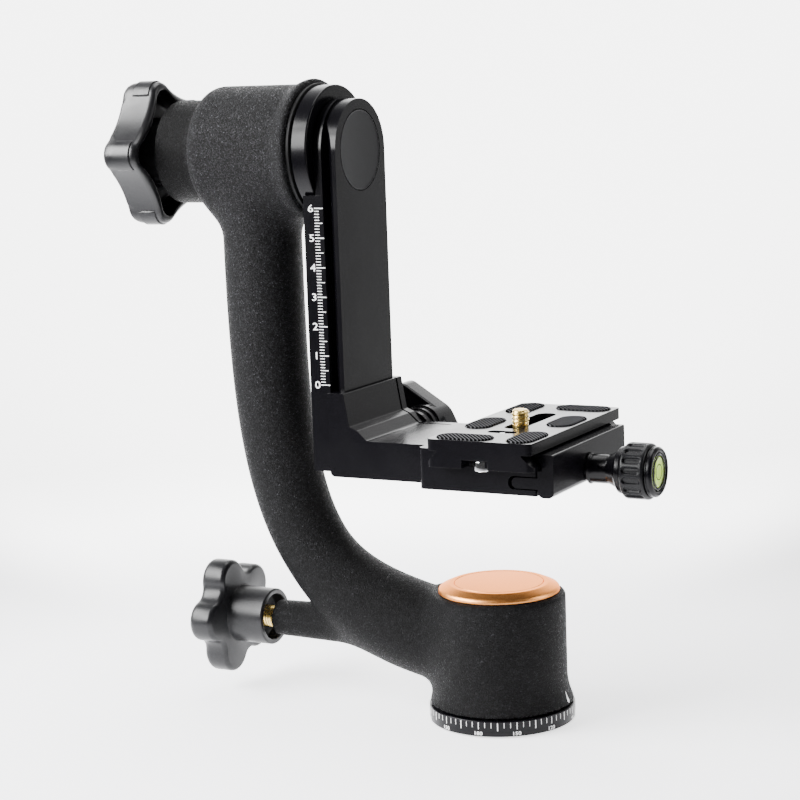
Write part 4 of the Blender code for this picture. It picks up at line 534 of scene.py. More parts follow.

# %% [markdown]
# ## Pieces
#
# A finished piece needs four things: smooth shading that stops at its sharp edges, a finish, the body that it
# moves with, and the name of the plain solid that it stands for. A few finishes are cousins of one that the
# record names.


def dress(piece, body, finish, replaces=(), angle=38, flats=False):
    """Shades, paints and carries a finished piece; with flats, flat faces stay flat beside round edges."""
    piece.data.shade_smooth()
    piece.data.set_sharp_from_angle(angle=math.radians(angle))
    if flats:
        normals = piece.modifiers.new("flat_faces", "WEIGHTED_NORMAL")
        normals.keep_sharp = True
    piece.data.materials.clear()
    piece.data.materials.append(FINISH[finish])
    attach(piece, body)
    if replaces:
        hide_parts(*replaces)
    print(f"{piece.name}: {len(piece.data.polygons)} faces on {body}")
    return piece


print(len(FINISH), "finishes are ready")

# %% [markdown]
# ## Base and dial
#
# The base is a turned disc with a bore for the tripod's thread. Its corners are broken by arcs of a third of
# a millimetre, which draw the bright lines round it.

# %% Base disc
BASE_RADIUS = radius_of("base_dial")
BASE_HEIGHT = span("base_dial")[1][2]
insert_radius = radius_of("tripod_thread_insert") + GAP
base = lathe(
    "base_dial_turned",
    [(insert_radius, 0, 0.3), (BASE_RADIUS - 0.1, 0, 0.45), (BASE_RADIUS, BASE_HEIGHT, 0.35),
     (insert_radius, BASE_HEIGHT, 0.3)],
    "Z", PAN_LINE, 192, loop=True,
)
dress(base, "base", "satin_black", ["base_dial"], flats=True)

# %% [markdown]
# A mark is a block with eight corners. All the marks of a scale are worked out together: the unit block is
# stretched, moved and, on the rim, bent by turning its width into an angle.

# %% Helper: many marks in one mesh
def blocks(low, high):
    """Boxes between arrays of low and high corners: points (n, 8, 3) and their faces."""
    corner = np.array([(x, y, z) for z in (0, 1) for x, y in ((0, 0), (1, 0), (1, 1), (0, 1))])
    side = np.array([(0, 3, 2, 1), (4, 5, 6, 7), (0, 1, 5, 4), (1, 2, 6, 5), (2, 3, 7, 6), (3, 0, 4, 7)])
    low, high = np.array(low, float)[:, None], np.array(high, float)[:, None]
    points = low + corner * (high - low)
    faces = (side + 8 * np.arange(len(points))[:, None, None]).reshape(-1, 4)
    return points, faces.tolist()


def bend(points, radius):
    """Wraps (arc length, height, depth) round the pan axis: angle = arc length / radius."""
    angle = points[..., 0] / radius
    reach = radius + points[..., 2]
    return np.stack([reach * np.cos(angle), reach * np.sin(angle), points[..., 1]], -1)


print("a mark has", len(blocks([(0, 0, 0)], [(1, 1, 1)])[1]), "faces")

# %% [markdown]
# The dial is printed on the base's rim: a mark every five degrees, longer ones every fifteen, and bold ones
# where the numbers stand. An image could be wrapped round the rim, but it would blur when the camera comes
# close. Thin blocks stay sharp from any distance and stand proud by the thickness of the ink.

# %% Dial marks
INK = 0.04
DIAL_MIDDLE, DIAL_TOP = -83.5, BASE_HEIGHT - 0.45
degree = np.arange(-180, 180, 5)
on_thirty, on_fifteen = degree % 30 == 0, degree % 15 == 0
length = np.select([on_thirty, on_fifteen], [2.35, 2.75], 1.8)
half = np.select([on_thirty, on_fifteen], [0.11, 0.15], 0.08)
place = np.radians(degree + DIAL_MIDDLE) * BASE_RADIUS
top = DIAL_TOP + 0 * place
points, faces = blocks(
    np.stack([place - half, top - length, -INK + 0 * place], -1),
    np.stack([place + half, top, INK + 0 * place], -1),
)
# In pieces as small as ink, only points closer than this are merged.
FINE = 0.0001
marks = solid("dial_marks", bend(points, BASE_RADIUS).reshape(-1, 3), faces, FINE)
dress(marks, "base", "ink")

# %% [markdown]
# Numbers are Blender's own text, made a mesh before anything bends them. The text lies flat with its height
# along Y; the mesh's points are then laid on the rim, or on the rail's side, by the formula of that surface.

# %% Helper: a number as points
# The strokes are made heavier by this share of the number's size.
BOLD = 0.008


def number(text, size, widen=1.0):
    """Points (across, up, out) and faces of a number, centred on its own middle, as thick as the ink."""
    curve = bpy.data.curves.new("number", "FONT")
    curve.body = text
    curve.size = size
    curve.extrude = INK
    curve.offset = size * BOLD
    curve.resolution_u = 4
    holder = bpy.data.objects.new("number", curve)
    bpy.context.scene.collection.objects.link(holder)
    graph = bpy.context.evaluated_depsgraph_get()
    mesh = bpy.data.meshes.new_from_object(holder.evaluated_get(graph))
    bpy.data.objects.remove(holder, do_unlink=True)
    points = np.zeros(len(mesh.vertices) * 3)
    mesh.vertices.foreach_get("co", points)
    points = points.reshape(-1, 3)
    points[:, :2] -= (points[:, :2].min(0) + points[:, :2].max(0)) / 2
    points[:, 0] *= widen
    return points, [list(face.vertices) for face in mesh.polygons]


def joined(parts):
    """Several (points, faces) as one."""
    start = np.cumsum([0] + [len(points) for points, _ in parts])
    faces = [[corner + first for corner in face] for (_, some), first in zip(parts, start) for face in some]
    return np.concatenate([points for points, _ in parts]), faces


print("two blocks joined have", len(joined([blocks([(0, 0, 0)], [(1, 1, 1)])] * 2)[1]), "faces")

# %% [markdown]
# The dial's numbers count down from 180 on both sides, one every thirty degrees. Each is lifted to its
# height, moved round the rim by its arc length, and then bent like the marks.

# %% Dial numbers
DIAL_DIGIT, DIAL_WIDEN, DIGIT_HEIGHT = 1.75, 1.2, 1.2
parts = []
for step in range(-180, 180, 30):
    points, faces = number(str(180 - abs(step)), DIAL_DIGIT, DIAL_WIDEN)
    points += (math.radians(step + DIAL_MIDDLE) * BASE_RADIUS, DIGIT_HEIGHT, 0)
    parts.append((bend(points, BASE_RADIUS), faces))
numbers = solid("dial_numbers", *joined(parts), FINE)
dress(numbers, "base", "ink")

# %% [markdown]
# ## The casting
#
# The arm is one casting: a lower hub with a flared foot, a bent arm that is slimmer in the middle, an upper
# hub with a neck, and a long boss for the pan lock. Where they meet, the metal flows together in fillets of
# several millimetres. A field describes that best: each body is a distance, below zero inside, and a
# smooth minimum joins them. The arm itself is a tube round a middle line whose radius varies.

# %% The arm's middle line
ARM_X, ARM_TOP = -87.9, 162.0
TOP_RADIUS, WAIST_RADIUS, FOOT_RADIUS = 13.8, 12.6, 15.7
WAIST_SHARE = 0.62
bend_top = np.array([ARM_X, ARM_TOP])
bend_foot = np.array([-29.0, 27.8])
foot_slope = math.radians(13)
pull_top = bend_top - (0, 81.0)
pull_foot = bend_foot + 56.8 * np.array([-math.cos(foot_slope), math.sin(foot_slope)])


def arm_line(samples=260):
    """Points (x, z) and radii: a straight drop, a cubic Bezier bend, and a short run into the lower hub."""
    share = np.linspace(0, 1, samples)[:, None]
    rest = 1 - share
    curve = (rest**3 * bend_top + 3 * rest**2 * share * pull_top + 3 * rest * share**2 * pull_foot
             + share**3 * bend_foot)
    rise = np.where(share < WAIST_SHARE, share / WAIST_SHARE, (share - WAIST_SHARE) / (1 - WAIST_SHARE))
    ease = rise * rise * (3 - 2 * rise)
    start = np.where(share < WAIST_SHARE, TOP_RADIUS, WAIST_RADIUS)
    finish = np.where(share < WAIST_SHARE, WAIST_RADIUS, FOOT_RADIUS)
    radius = (start + (finish - start) * ease)[:, 0]
    drop = np.linspace(TILT_Z, ARM_TOP, 20, endpoint=False)
    straight = np.stack([ARM_X + 0 * drop, drop], -1)
    run = np.linspace(0, FOOT_RADIUS, 12)[1:]
    last = bend_foot + np.stack([run, -run * math.tan(foot_slope)], -1)
    line = np.concatenate([straight, curve, last])
    return line, np.concatenate([TOP_RADIUS + 0 * drop, radius, FOOT_RADIUS + 0 * run])


line, line_radius = arm_line()
print(f"arm line of {len(line)} points, {np.linalg.norm(np.diff(line, axis=0), axis=1).sum():.0f} mm long")

# %% [markdown]
# The line lies in one plane, so its nearest point depends on x and z alone. A table of that plane is worked
# out once; any point then reads it, and adds its own y by the theorem of Pythagoras.

# %% Table of the arm's plane
TABLE_STEP = 0.5
table_x = np.arange(-125, 32, TABLE_STEP)
table_z = np.arange(-2, 224, TABLE_STEP)
plane = np.stack(np.meshgrid(table_x, table_z, indexing="ij"), -1)
nearest = np.full(plane.shape[:2], np.inf)
radius_there = np.zeros(plane.shape[:2])
for spot, spot_radius in zip(line, line_radius):
    away = np.hypot(plane[..., 0] - spot[0], plane[..., 1] - spot[1])
    closer = away - spot_radius < nearest - radius_there
    nearest = np.where(closer, away, nearest)
    radius_there = np.where(closer, spot_radius, radius_there)


def read_table(table, x, z):
    """The table's value between its four nearest entries, weighted by closeness."""
    u = np.clip((x - table_x[0]) / TABLE_STEP, 0, len(table_x) - 1.001)
    v = np.clip((z - table_z[0]) / TABLE_STEP, 0, len(table_z) - 1.001)
    i, j = u.astype(int), v.astype(int)
    p, q = u - i, v - j
    return ((1 - p) * (1 - q) * table[i, j] + p * (1 - q) * table[i + 1, j]
            + (1 - p) * q * table[i, j + 1] + p * q * table[i + 1, j + 1])


print("table of", plane.shape[:2])


# %% [markdown]
# Two bodies could be joined by a Boolean and their seam rounded by a bevel, but a bevel as wide as these
# fillets folds over itself on curved metal. Distances blend without folding: `merge` swells the seam between
# two bodies, `trim` keeps what lies in both and rounds the corner, and `ease` is a soft step for flares.

# %% Joining and trimming fields
def merge(a, b, width):
    """Smooth minimum: where two distances differ by less than the width, the surface swells between them."""
    share = np.clip(0.5 + 0.5 * (b - a) / width, 0, 1)
    return b + (a - b) * share - width * share * (1 - share)


def trim(a, b, edge):
    """Both at once, with the corner between them rounded to the edge's radius."""
    return np.minimum(np.maximum(a, b), -edge) + np.hypot(np.maximum(a + edge, 0), np.maximum(b + edge, 0))


def ease(x, start, finish):
    """0 before start, 1 after finish, and a smooth step between."""
    share = np.clip((x - start) / (finish - start), 0, 1)
    return share * share * (3 - 2 * share)


print("1 mm outside two walls, merged over 8 mm, the distance is", merge(1.0, 1.0, 8.0), "mm")

# %% [markdown]
# These are the casting's sizes: where each hub starts and ends, how far its wall leans out, and how wide the
# fillets are in which two bodies meet. They come from the photo and its fitted camera; the fillets are given.
# A bore is a radius and the two ends between which it runs; the bores follow the pieces inside, which no
# photo shows.

# %% Sizes of the casting
HUB_RADIUS, HUB_FOOT, HUB_TOP = 22.6, 6.0, 44.0
HUB_RIGHT, HUB_LEFT, NECK_END = -63.9, -105.6, -119.8
NECK_RADIUS, NECK_OVERLAP = 18.0, 8.0
BOSS_RADIUS, BOSS_TAPER, BOSS_LEFT, BOSS_RIGHT = 6.3, 0.018, -88.0, -38.0
FOOT_FLARE, FOOT_FLARE_TOP = 2.2, 16.0
RIGHT_FLARE, RIGHT_FLARE_LENGTH, RIGHT_RIM = 1.8, 7.0, 0.8
NECK_FILLET, ARM_FILLET, FOOT_FILLET, BOSS_FILLET = 1.6, 9.0, 6.0, 5.0
OPEN = math.inf
PAN_BORES = [(21.3, HUB_TOP + 0.1, OPEN), (19.3, HUB_TOP - 3.7, OPEN), (15.4, HUB_TOP - 5.5, OPEN),
             (13.2, -OPEN, OPEN), (15.4, -OPEN, 9.0), (19.3, -OPEN, 7.2)]
TILT_BORES = [(11.0, -OPEN, OPEN), (14.3, HUB_RIGHT - 8.6, OPEN), (14.3, -OPEN, NECK_END + 8.6)]
BOSS_BORES = [(4.3, -OPEN, -10.0)]
print(len(PAN_BORES + TILT_BORES + BOSS_BORES), "bores in the casting")

# %% [markdown]
# The field adds up what the sizes say. The lower hub's wall leans out at the foot and the upper hub's flares
# towards the rail. Fillets come first and the bores last, so the bushes, the bearings and the lock rod lie in
# real holes with sharp rims.

# %% The casting's field
def hub_wall(z):
    """The lower hub's radius at a height: straight, then a parabola out to the foot."""
    share = np.clip((FOOT_FLARE_TOP - z) / (FOOT_FLARE_TOP - HUB_FOOT), 0, 1)
    return HUB_RADIUS + FOOT_FLARE * share ** 2


def bored(body, away, along, bores):
    """The body less its bores: outside all of them, each a cylinder cut off at its two ends."""
    for radius, low, high in bores:
        well = np.maximum(away - radius, np.maximum(low - along, along - high))
        body = np.maximum(body, -well)
    return body


def casting(points):
    """Below zero inside the casting."""
    x, y, z = np.moveaxis(points, -1, 0)
    from_pan = np.hypot(x, y)
    from_tilt = np.hypot(y, z - TILT_Z)
    from_boss = np.hypot(y, z - BOSS_Z)
    lower = trim(from_pan - hub_wall(z), z - HUB_TOP, 2.0)
    lower = trim(lower, HUB_FOOT - z, 0.7)
    flare = RIGHT_FLARE * ease(x, HUB_RIGHT - RIGHT_FLARE_LENGTH, HUB_RIGHT - RIGHT_RIM)
    upper = trim(from_tilt - HUB_RADIUS - flare, x - HUB_RIGHT, 1.0)
    upper = trim(upper, HUB_LEFT - x, 5.6)
    neck = trim(from_tilt - NECK_RADIUS, NECK_END - x, 0.9)
    neck = trim(neck, x - HUB_LEFT - NECK_OVERLAP, 1.0)
    tube = np.hypot(read_table(nearest, x, z), y) - read_table(radius_there, x, z)
    boss = trim(from_boss - BOSS_RADIUS - BOSS_TAPER * (x - BOSS_LEFT), BOSS_LEFT - x, 0.8)
    boss = trim(boss, x - BOSS_RIGHT, 1.0)
    body = merge(merge(upper, neck, NECK_FILLET), tube, ARM_FILLET)
    body = merge(body, lower, FOOT_FILLET)
    body = merge(body, boss, BOSS_FILLET)
    body = bored(body, from_pan, z, PAN_BORES)
    body = bored(body, from_tilt, x, TILT_BORES)
    return bored(body, from_boss, x, BOSS_BORES)


sample = np.array([(HUB_RADIUS + 1.0, 0, HUB_TOP - 10), (HUB_RADIUS - 1.0, 0, HUB_TOP - 10)])
print("1 mm outside and inside the hub's wall:", casting(sample).round(2))

# %% [markdown]
# A surface net turns the field into a mesh. The space is cut into cubes; each cube that the surface passes
# through gets one point, the mean of the crossings on its edges; and each crossed edge joins the points of
# the four cubes round it. Metaballs would be quicker to set up, but they can't hold a flat end or a bore.

# %% Surface net
def surface_net(field, low, high, step):
    """Points and four-sided faces of the surface where the field is zero."""
    axes = [np.arange(a, b + step, step) for a, b in zip(low, high)]
    grid = np.stack(np.meshgrid(*axes, indexing="ij"), -1)
    value = field(grid)
    cells = tuple(count + 1 for count in value.shape)
    total, hits = np.zeros(cells + (3,)), np.zeros(cells)
    crossings = []
    for axis in range(3):
        near = np.take(value, range(value.shape[axis] - 1), axis)
        far = np.take(value, range(1, value.shape[axis]), axis)
        i, j, k = spots = np.nonzero((near < 0) != (far < 0))
        share = near[spots] / (near[spots] - far[spots])
        point = grid[spots].copy()
        point[:, axis] += share * step
        u, v = [a for a in range(3) if a != axis]
        around = []
        for du, dv in ((0, 0), (1, 0), (1, 1), (0, 1)):
            cell = np.stack([i, j, k], -1) + 1
            cell[:, u] -= du
            cell[:, v] -= dv
            around.append(cell)
            np.add.at(total, tuple(cell.T), point)
            np.add.at(hits, tuple(cell.T), 1)
        crossings.append((around, near[spots] < 0, axis))
    index = np.cumsum(hits.ravel() > 0).reshape(cells) - 1
    points = total[hits > 0] / hits[hits > 0][:, None]
    faces = []
    for around, inside, axis in crossings:
        quad = np.stack([index[tuple(cell.T)] for cell in around], -1)
        flip = inside if axis == 1 else ~inside
        quad[flip] = quad[flip][:, ::-1]
        faces.append(quad)
    return points, np.concatenate(faces)


NET_STEP = 1.0
points, faces = surface_net(casting, (-122, -26, 4), (28, 26, 220), NET_STEP)
print("net of", len(points), "points and", len(faces), "faces")

# %% [markdown]
# The net's points lie near the surface, not on it, so the light would show the cubes. Three steps along the
# field's slope bring each point onto the surface, and then the faces shade smoothly.

# %% Settle the net
def settle(field, points, rounds=3, reach=0.05):
    """Newton's steps: point - value * slope / slope squared; slopes are taken between two neighbours."""
    for _ in range(rounds):
        slope = np.zeros_like(points)
        for axis in range(3):
            shift = np.zeros(3)
            shift[axis] = reach
            slope[:, axis] = (field(points + shift) - field(points - shift)) / (2 * reach)
        size = np.maximum(np.sum(slope**2, -1, keepdims=True), 0.25)
        points = points - np.clip(field(points)[:, None] / size, -0.5, 0.5) * slope
    return points


before = np.abs(casting(points)).max()
points = settle(casting, points)
print(f"off the surface by {before:.3f} mm before and {np.abs(casting(points)).max():.4f} mm after")
arm = solid("arm_cast", points, faces.tolist(), FINE)
dress(arm, "arm", "crinkle_black", ["arm_casting"], angle=60)

# %% [markdown]
# The cap closes the lower hub: a flat top with one engraved circle, a sloping rim with soft corners, and a
# spigot that drops into the hub. All of it is one profile on a lathe, the engraved circle too: a V of three
# corners, a third of a millimetre deep.

# %% Cap
cap_low, cap_high = span("pan_cap")
CAP_RADIUS, CAP_TOP = radius_of("pan_cap"), cap_high[2]
CAP_FOOT = HUB_TOP + GAP
CAP_WALL, SPIGOT_OUTER, SPIGOT_INNER = 1.6, 19.0, 17.4
ENGRAVED, ENGRAVED_HALF, ENGRAVED_DEPTH = 15.2, 0.2, 0.3
cap = lathe(
    "cap_turned",
    [(0, CAP_TOP, 0), (ENGRAVED - ENGRAVED_HALF, CAP_TOP, 0.04), (ENGRAVED, CAP_TOP - ENGRAVED_DEPTH, 0.04),
     (ENGRAVED + ENGRAVED_HALF, CAP_TOP, 0.04), (CAP_RADIUS - 4.0, CAP_TOP, 1.4),
     (CAP_RADIUS, CAP_FOOT + 1.1, 1.5), (CAP_RADIUS - 0.3, CAP_FOOT, 0.1), (SPIGOT_OUTER, CAP_FOOT, 0.1),
     (SPIGOT_OUTER, cap_low[2], 0.3), (SPIGOT_INNER, cap_low[2], 0.3),
     (SPIGOT_INNER, CAP_TOP - CAP_WALL, 0.5), (0, CAP_TOP - CAP_WALL, 0)],
    "Z", PAN_LINE, 160,
)
dress(cap, "arm", "copper", ["pan_cap"], angle=50)

# %% [markdown]
# The index mark on the flared foot is a kite of white ink. It is a tube of four-cornered rings: at each
# height it is as wide as the kite is there, and it lies on the hub's own radius, so it follows the flare.

# %% Index mark
INDEX_TURN, INDEX_HALF, INDEX_PROUD = 3.0, 0.8, 0.02
INDEX_LOW, INDEX_HIGH = 6.7, 10.8
height = np.linspace(INDEX_LOW, INDEX_HIGH, 14)[:, None]
half_width = INDEX_HALF * np.minimum((height - INDEX_LOW) / 0.6, (INDEX_HIGH - height) / 3.5)
corner = np.array([(-1, -1), (1, -1), (1, 1), (-1, 1)])
angle = math.radians(INDEX_TURN) + corner[:, 0] * half_width / hub_wall(height)
reach = hub_wall(height) + INDEX_PROUD + INK * corner[:, 1]
grid = np.stack([reach * np.cos(angle), reach * np.sin(angle), height + 0 * angle], -1)
dress(solid("index_mark", *skin(grid), FINE), "arm", "ink")

# %% [markdown]
# ## The swinging rail
#
# In front of the arm hangs the rail: a ruled flange and a face plate, both with a round top about the tilt
# axis, and between them a V groove milled along each side for the bracket to hook into.

# %% Helper: an outline with a round top
def dome(half, foot, steps=72):
    """An upright outline (y, z) from the tilt axis, with a round top about that axis."""
    return np.concatenate([[(-half, foot), (half, foot)], circle_arc((0, 0), half, 0, 180, steps)])


print("an outline with a round top has", len(dome(10, -20)), "points")

# %% [markdown]
# A round disc sits on the spindle and carries the rail, and a rubber washer lies between disc and hub. Both
# are turned; the disc has a wide bore behind for the spindle's end and a small one for the screw.

# %% Disc and washer
DISC_RADIUS, DISC_BORE, DISC_POCKET, POCKET_DEPTH = radius_of("pivot_disc"), 3.3, 6.3, 4.8
disc = lathe(
    "pivot_disc_turned",
    [(DISC_BORE, disc_high[0], 0), (DISC_RADIUS, disc_high[0], 0.5), (DISC_RADIUS, disc_low[0], 0.5),
     (DISC_POCKET, disc_low[0], 0), (DISC_POCKET, disc_low[0] + POCKET_DEPTH, 0),
     (DISC_BORE, disc_low[0] + POCKET_DEPTH, 0)],
    "X", TILT_LINE, 160, loop=True,
)
dress(disc, "swing", "satin_black", ["pivot_disc"], flats=True)

washer_low, washer_high = span("tilt_friction_washer")
WASHER_RADIUS, WASHER_BORE = radius_of("tilt_friction_washer"), 9
washer = lathe(
    "tilt_friction_washer_turned",
    [(WASHER_BORE, washer_low[0], 0.2), (WASHER_RADIUS, washer_low[0], 0.3),
     (WASHER_RADIUS, washer_high[0], 0.3), (WASHER_BORE, washer_high[0], 0.2)],
    "X", TILT_LINE, 144, loop=True,
)
dress(washer, "arm", "rubber_black", ["tilt_friction_washer"])

# %% [markdown]
# The rail is milled from a bar, and so is this one. A slab with a round top loses a V groove on each side, is
# joined to its flange, and then gets the round seat of the disc, the shallow bed of the inlay and two screw
# holes. The cutters run past the metal, so that no thin skin is left.

# %% Rail
rail_low, rail_high = span("swing_rail")
FLANGE_LEFT, FLANGE_FRONT, FLANGE_HALF = rail_low[0], -52.5, 18.25
RAIL_FACE, RAIL_HALF = rail_high[0], 17.35
FLANGE_TOP, GROOVE_ROOT, FACE_EDGE = 179.5, 14.1, 1.5
# The groove's cutter reaches out to this distance from the middle, past the metal.
BEYOND = 24
foot = rail_low[2] - TILT_Z
rail = slab(dome(RAIL_HALF, foot), disc_high[0] - 0.6, RAIL_FACE, "X", TILT_LINE)
rail.name = "swing_rail_milled"
face_back = RAIL_FACE - FACE_EDGE
groove = np.array([(FLANGE_FRONT + 0.3, BEYOND), (FLANGE_FRONT, GROOVE_ROOT),
                   (face_back - (RAIL_HALF - GROOVE_ROOT), GROOVE_ROOT), (face_back, RAIL_HALF),
                   (face_back, BEYOND)])
for side in (1, -1):
    carve(rail, slab(groove * (1, side), rail_low[2] - CLEAR, rail_high[2] + CLEAR, "Z"))
flange = slab(dome(FLANGE_HALF, foot), FLANGE_LEFT, FLANGE_FRONT, "X", TILT_LINE)
carve(flange, brick((FLANGE_LEFT - 2, -20, FLANGE_TOP), (FLANGE_FRONT - 0.8, 20, 216)))
carve(rail, flange, operation="UNION")
carve(
    rail,
    plug(DISC_RADIUS + GAP, disc_low[0] - CLEAR, disc_high[0] + GAP, "X", TILT_LINE, 160),
    plug(13.9, RAIL_FACE - 1.4, RAIL_FACE + CLEAR, "X", TILT_LINE, 128),
    plug(5.3, RAIL_FACE - 6.0, RAIL_FACE - 1, "X", TILT_LINE, 48),
    plug(1.1, RAIL_FACE - 4.3, RAIL_FACE + CLEAR, "X", (0, 0, 88.4), 32),
)
soften(rail, 0.22)
dress(rail, "swing", "satin_black", ["swing_rail"], flats=True)

# %% [markdown]
# The inlay covers the screw on the tilt axis. Its rim stands a tenth of a millimetre proud of its middle,
# which draws the fine bright circle in the face.

# %% Inlay
INLAY_RADIUS, INLAY_DEPTH, INLAY_SUNK = 13.6, 1.1, 0.12
inlay_disc = lathe(
    "inlay_disc_turned",
    [(0, RAIL_FACE - INLAY_SUNK, 0), (INLAY_RADIUS - 0.45, RAIL_FACE - INLAY_SUNK, 0.1),
     (INLAY_RADIUS - 0.3, RAIL_FACE, 0.1), (INLAY_RADIUS, RAIL_FACE, 0.15),
     (INLAY_RADIUS, RAIL_FACE - INLAY_DEPTH, 0), (0, RAIL_FACE - INLAY_DEPTH, 0)],
    "X", TILT_LINE, 128,
)
dress(inlay_disc, "swing", "inlay_grey", ["inlay_disc"])

# %% [markdown]
# The height scale is printed on the flange's near side: sixty millimetres, ruled like a steel rule, with a
# bold number at each centimetre to the left of its mark. It is ink of the same kind as the dial's, laid flat.

# %% Height scale
SCALE_ZERO, SCALE_LEFT, SCALE_DIGITS = 115.3, -55.97, -57.33
tick = np.arange(61)
on_ten, on_five = tick % 10 == 0, tick % 5 == 0
length = np.select([on_ten, on_five], [3.4, 3.0], 1.8)
half = np.where(on_ten, 0.16, 0.13)
level = SCALE_ZERO + tick
flat = 0.0 * tick
points, faces = blocks(
    np.stack([SCALE_LEFT + flat, -FLANGE_HALF - INK + flat, level - half], -1),
    np.stack([SCALE_LEFT + length, -FLANGE_HALF + INK + flat, level + half], -1),
)
dress(solid("height_marks", points.reshape(-1, 3), faces, FINE), "swing", "ink")

SCALE_DIGIT, SCALE_WIDEN = 3.5, 1.28
parts = []
for centimetre in range(7):
    points, faces = number(str(centimetre), SCALE_DIGIT, SCALE_WIDEN)
    across, up, out = points.T
    up = up + SCALE_ZERO + 10 * centimetre
    parts.append((np.stack([across + SCALE_DIGITS, -FLANGE_HALF - out, up], -1), faces))
dress(solid("height_numbers", *joined(parts), FINE), "swing", "ink")

# %% [markdown]
# ## Star knobs
#
# A lobed knob is a star in polar form. Each lobe is a circle whose centre lies off the axis; seen from the
# axis at an angle t from the lobe's middle, its edge is at c cos t + sqrt(r^2 - (c sin t)^2). Between two
# lobes a hollow circle, centred outside, touches both. Rings of the star, drawn in or out, make the solid.

# %% Helper: star knob
def star(angle, lobes, circle, lobe, waist):
    """The star's radius at each angle from the middle of its first lobe."""
    half = np.pi / lobes
    hollow = (lobe**2 - circle**2 - waist**2 + 2 * circle * waist * np.cos(half)) / (
        2 * (waist - circle * np.cos(half) - lobe))
    reach = waist + hollow
    to_hollow = np.array([reach * np.cos(half) - circle, reach * np.sin(half)])
    touch = np.array([circle, 0]) + lobe * to_hollow / np.linalg.norm(to_hollow)
    turn = np.abs((angle + half) % (2 * half) - half)
    outer = circle * np.cos(turn) + np.sqrt(np.maximum(lobe**2 - (circle * np.sin(turn)) ** 2, 0))
    away = half - turn
    inner = reach * np.cos(away) - np.sqrt(np.maximum(hollow**2 - (reach * np.sin(away)) ** 2, 0))
    return np.where(turn < np.arctan2(touch[1], touch[0]), outer, inner)


def star_knob(name, shape, rings, centre, pad=(0, 0, 0, 0), tips=0, steps=480):
    """Rings of (weight, offset, distance): radius = weight * star + offset.

    A pad (height, half angle in degrees, low, high) stands proud at each lobe's tip between two distances.
    `tips` holds a further (offset, distance) for each ring, which counts at the tips and fades beside them.
    """
    weight, offset, distance = (column[:, None] for column in np.array(rings, float).T)
    lobes = shape[0]
    height, half_angle, low, high = pad
    ledge = np.radians(np.array([-1, 1]) * half_angle + np.linspace(-0.5, 0.5, 7)[:, None]).ravel()
    lobe_angle = np.pi + np.arange(lobes)[:, None] * 2 * np.pi / lobes
    angle = np.concatenate([np.linspace(0, 2 * np.pi, steps, endpoint=False), (lobe_angle + ledge).ravel()])
    angle = np.unique(np.round(angle % (2 * np.pi), 6))
    turn = np.degrees(np.abs((angle + np.pi + np.pi / lobes) % (2 * np.pi / lobes) - np.pi / lobes))
    inside = (distance >= low) & (distance <= high) & (weight > 0)
    stand = height * (1 - ease(turn, half_angle - 0.5, half_angle + 0.5)) * inside
    tip = 1 - ease(turn, half_angle - 2, half_angle + 7)
    more_offset, more_distance = (np.zeros((len(rings), 2)) + tips).T[..., None] * tip
    radius = weight * star(angle - np.pi, *shape) + offset + more_offset + stand
    distance = distance + more_distance
    grid = np.stack([radius * np.cos(angle), radius * np.sin(angle), distance], -1)
    return solid(name, *skin(laid(grid, "X", centre)))


def rim(weight, offset, place, radius, start, finish, steps=6):
    """Rings round an edge of that radius, whose centre is at (offset, place); 0 degrees points outwards."""
    turn = np.radians(np.linspace(start, finish, steps + 1))
    return [(weight, offset + radius * math.cos(t), place + radius * math.sin(t)) for t in turn]


print("from a lobe's tip to the waist:", star(np.radians([0, 18, 36]), 5, 20.3, 5.6, 20.2).round(1), "mm")

# %% [markdown]
# The tilt knob is a hollow moulding of five lobes round a solid collar. Its rings start at the middle of the
# front, run over the soft front edge, down the side and over the rim into the pocket, and end in the collar's
# bore. Towards each tip the front edge leans back, and a thin pad stands proud there for the finger.

# %% Tilt knob
tilt_knob_low, tilt_knob_high = span("tilt_knob")
LEFT, SEAT = tilt_knob_low[0], tilt_knob_high[0]
RIGHT = LEFT + 14.0
FLOOR = RIGHT - 8.0
side = [(1, 0, x) for x in (LEFT + 1.85, LEFT + 2.1, LEFT + 6, RIGHT - 5, RIGHT - 2.5, RIGHT - 2.2)]
rings = [
    (0, 0, LEFT + 0.5), (0, 8, LEFT + 0.5), (0, 8.7, LEFT + 0.1), (1, -4, LEFT),
    *rim(1, -1.8, LEFT + 1.8, 1.8, -90, 0), *side, *rim(1, -2.0, RIGHT - 2.0, 2.0, 0, 90),
    *rim(1, -2.4, RIGHT - 0.4, 0.4, 90, 180, 3), (1, -3.4, FLOOR + 1.6), (1, -3.9, FLOOR + 0.5),
    (1, -5.0, FLOOR), (0, 13.4, FLOOR), (0, 12.3, FLOOR + 0.4), (0, 12.0, FLOOR + 1.4),
    *rim(0, 11.6, SEAT - 0.4, 0.4, 0, 90, 3), (0, 8.6, SEAT), (0, 8.3, SEAT - 0.3), (0, 8.3, SEAT - 10.2),
    (0, 0, SEAT - 10.2),
]
soft = np.zeros((len(rings), 2))
lean = np.radians(np.linspace(-90, 0, 7))
soft[4:11, 1] = 3.2 * (np.sin(lean) + 1)
soft[11:14, 1] = 3.2, 3.2, 1.0
tilt_knob = star_knob(
    "tilt_knob_moulded", (5, 20.3, 5.6, 20.2), rings, TILT_LINE, (0.5, 12.6, LEFT + 1.9, RIGHT - 2.3), soft
)
dress(tilt_knob, "tilt_lock", "knob_black", ["tilt_knob"], angle=50)

# %% [markdown]
# The pan knob is smaller and flatter, with wide lobes, and its back is closed. A collar with a recess for the
# boss's end grows from its middle. The same two helpers make it from another list of rings.

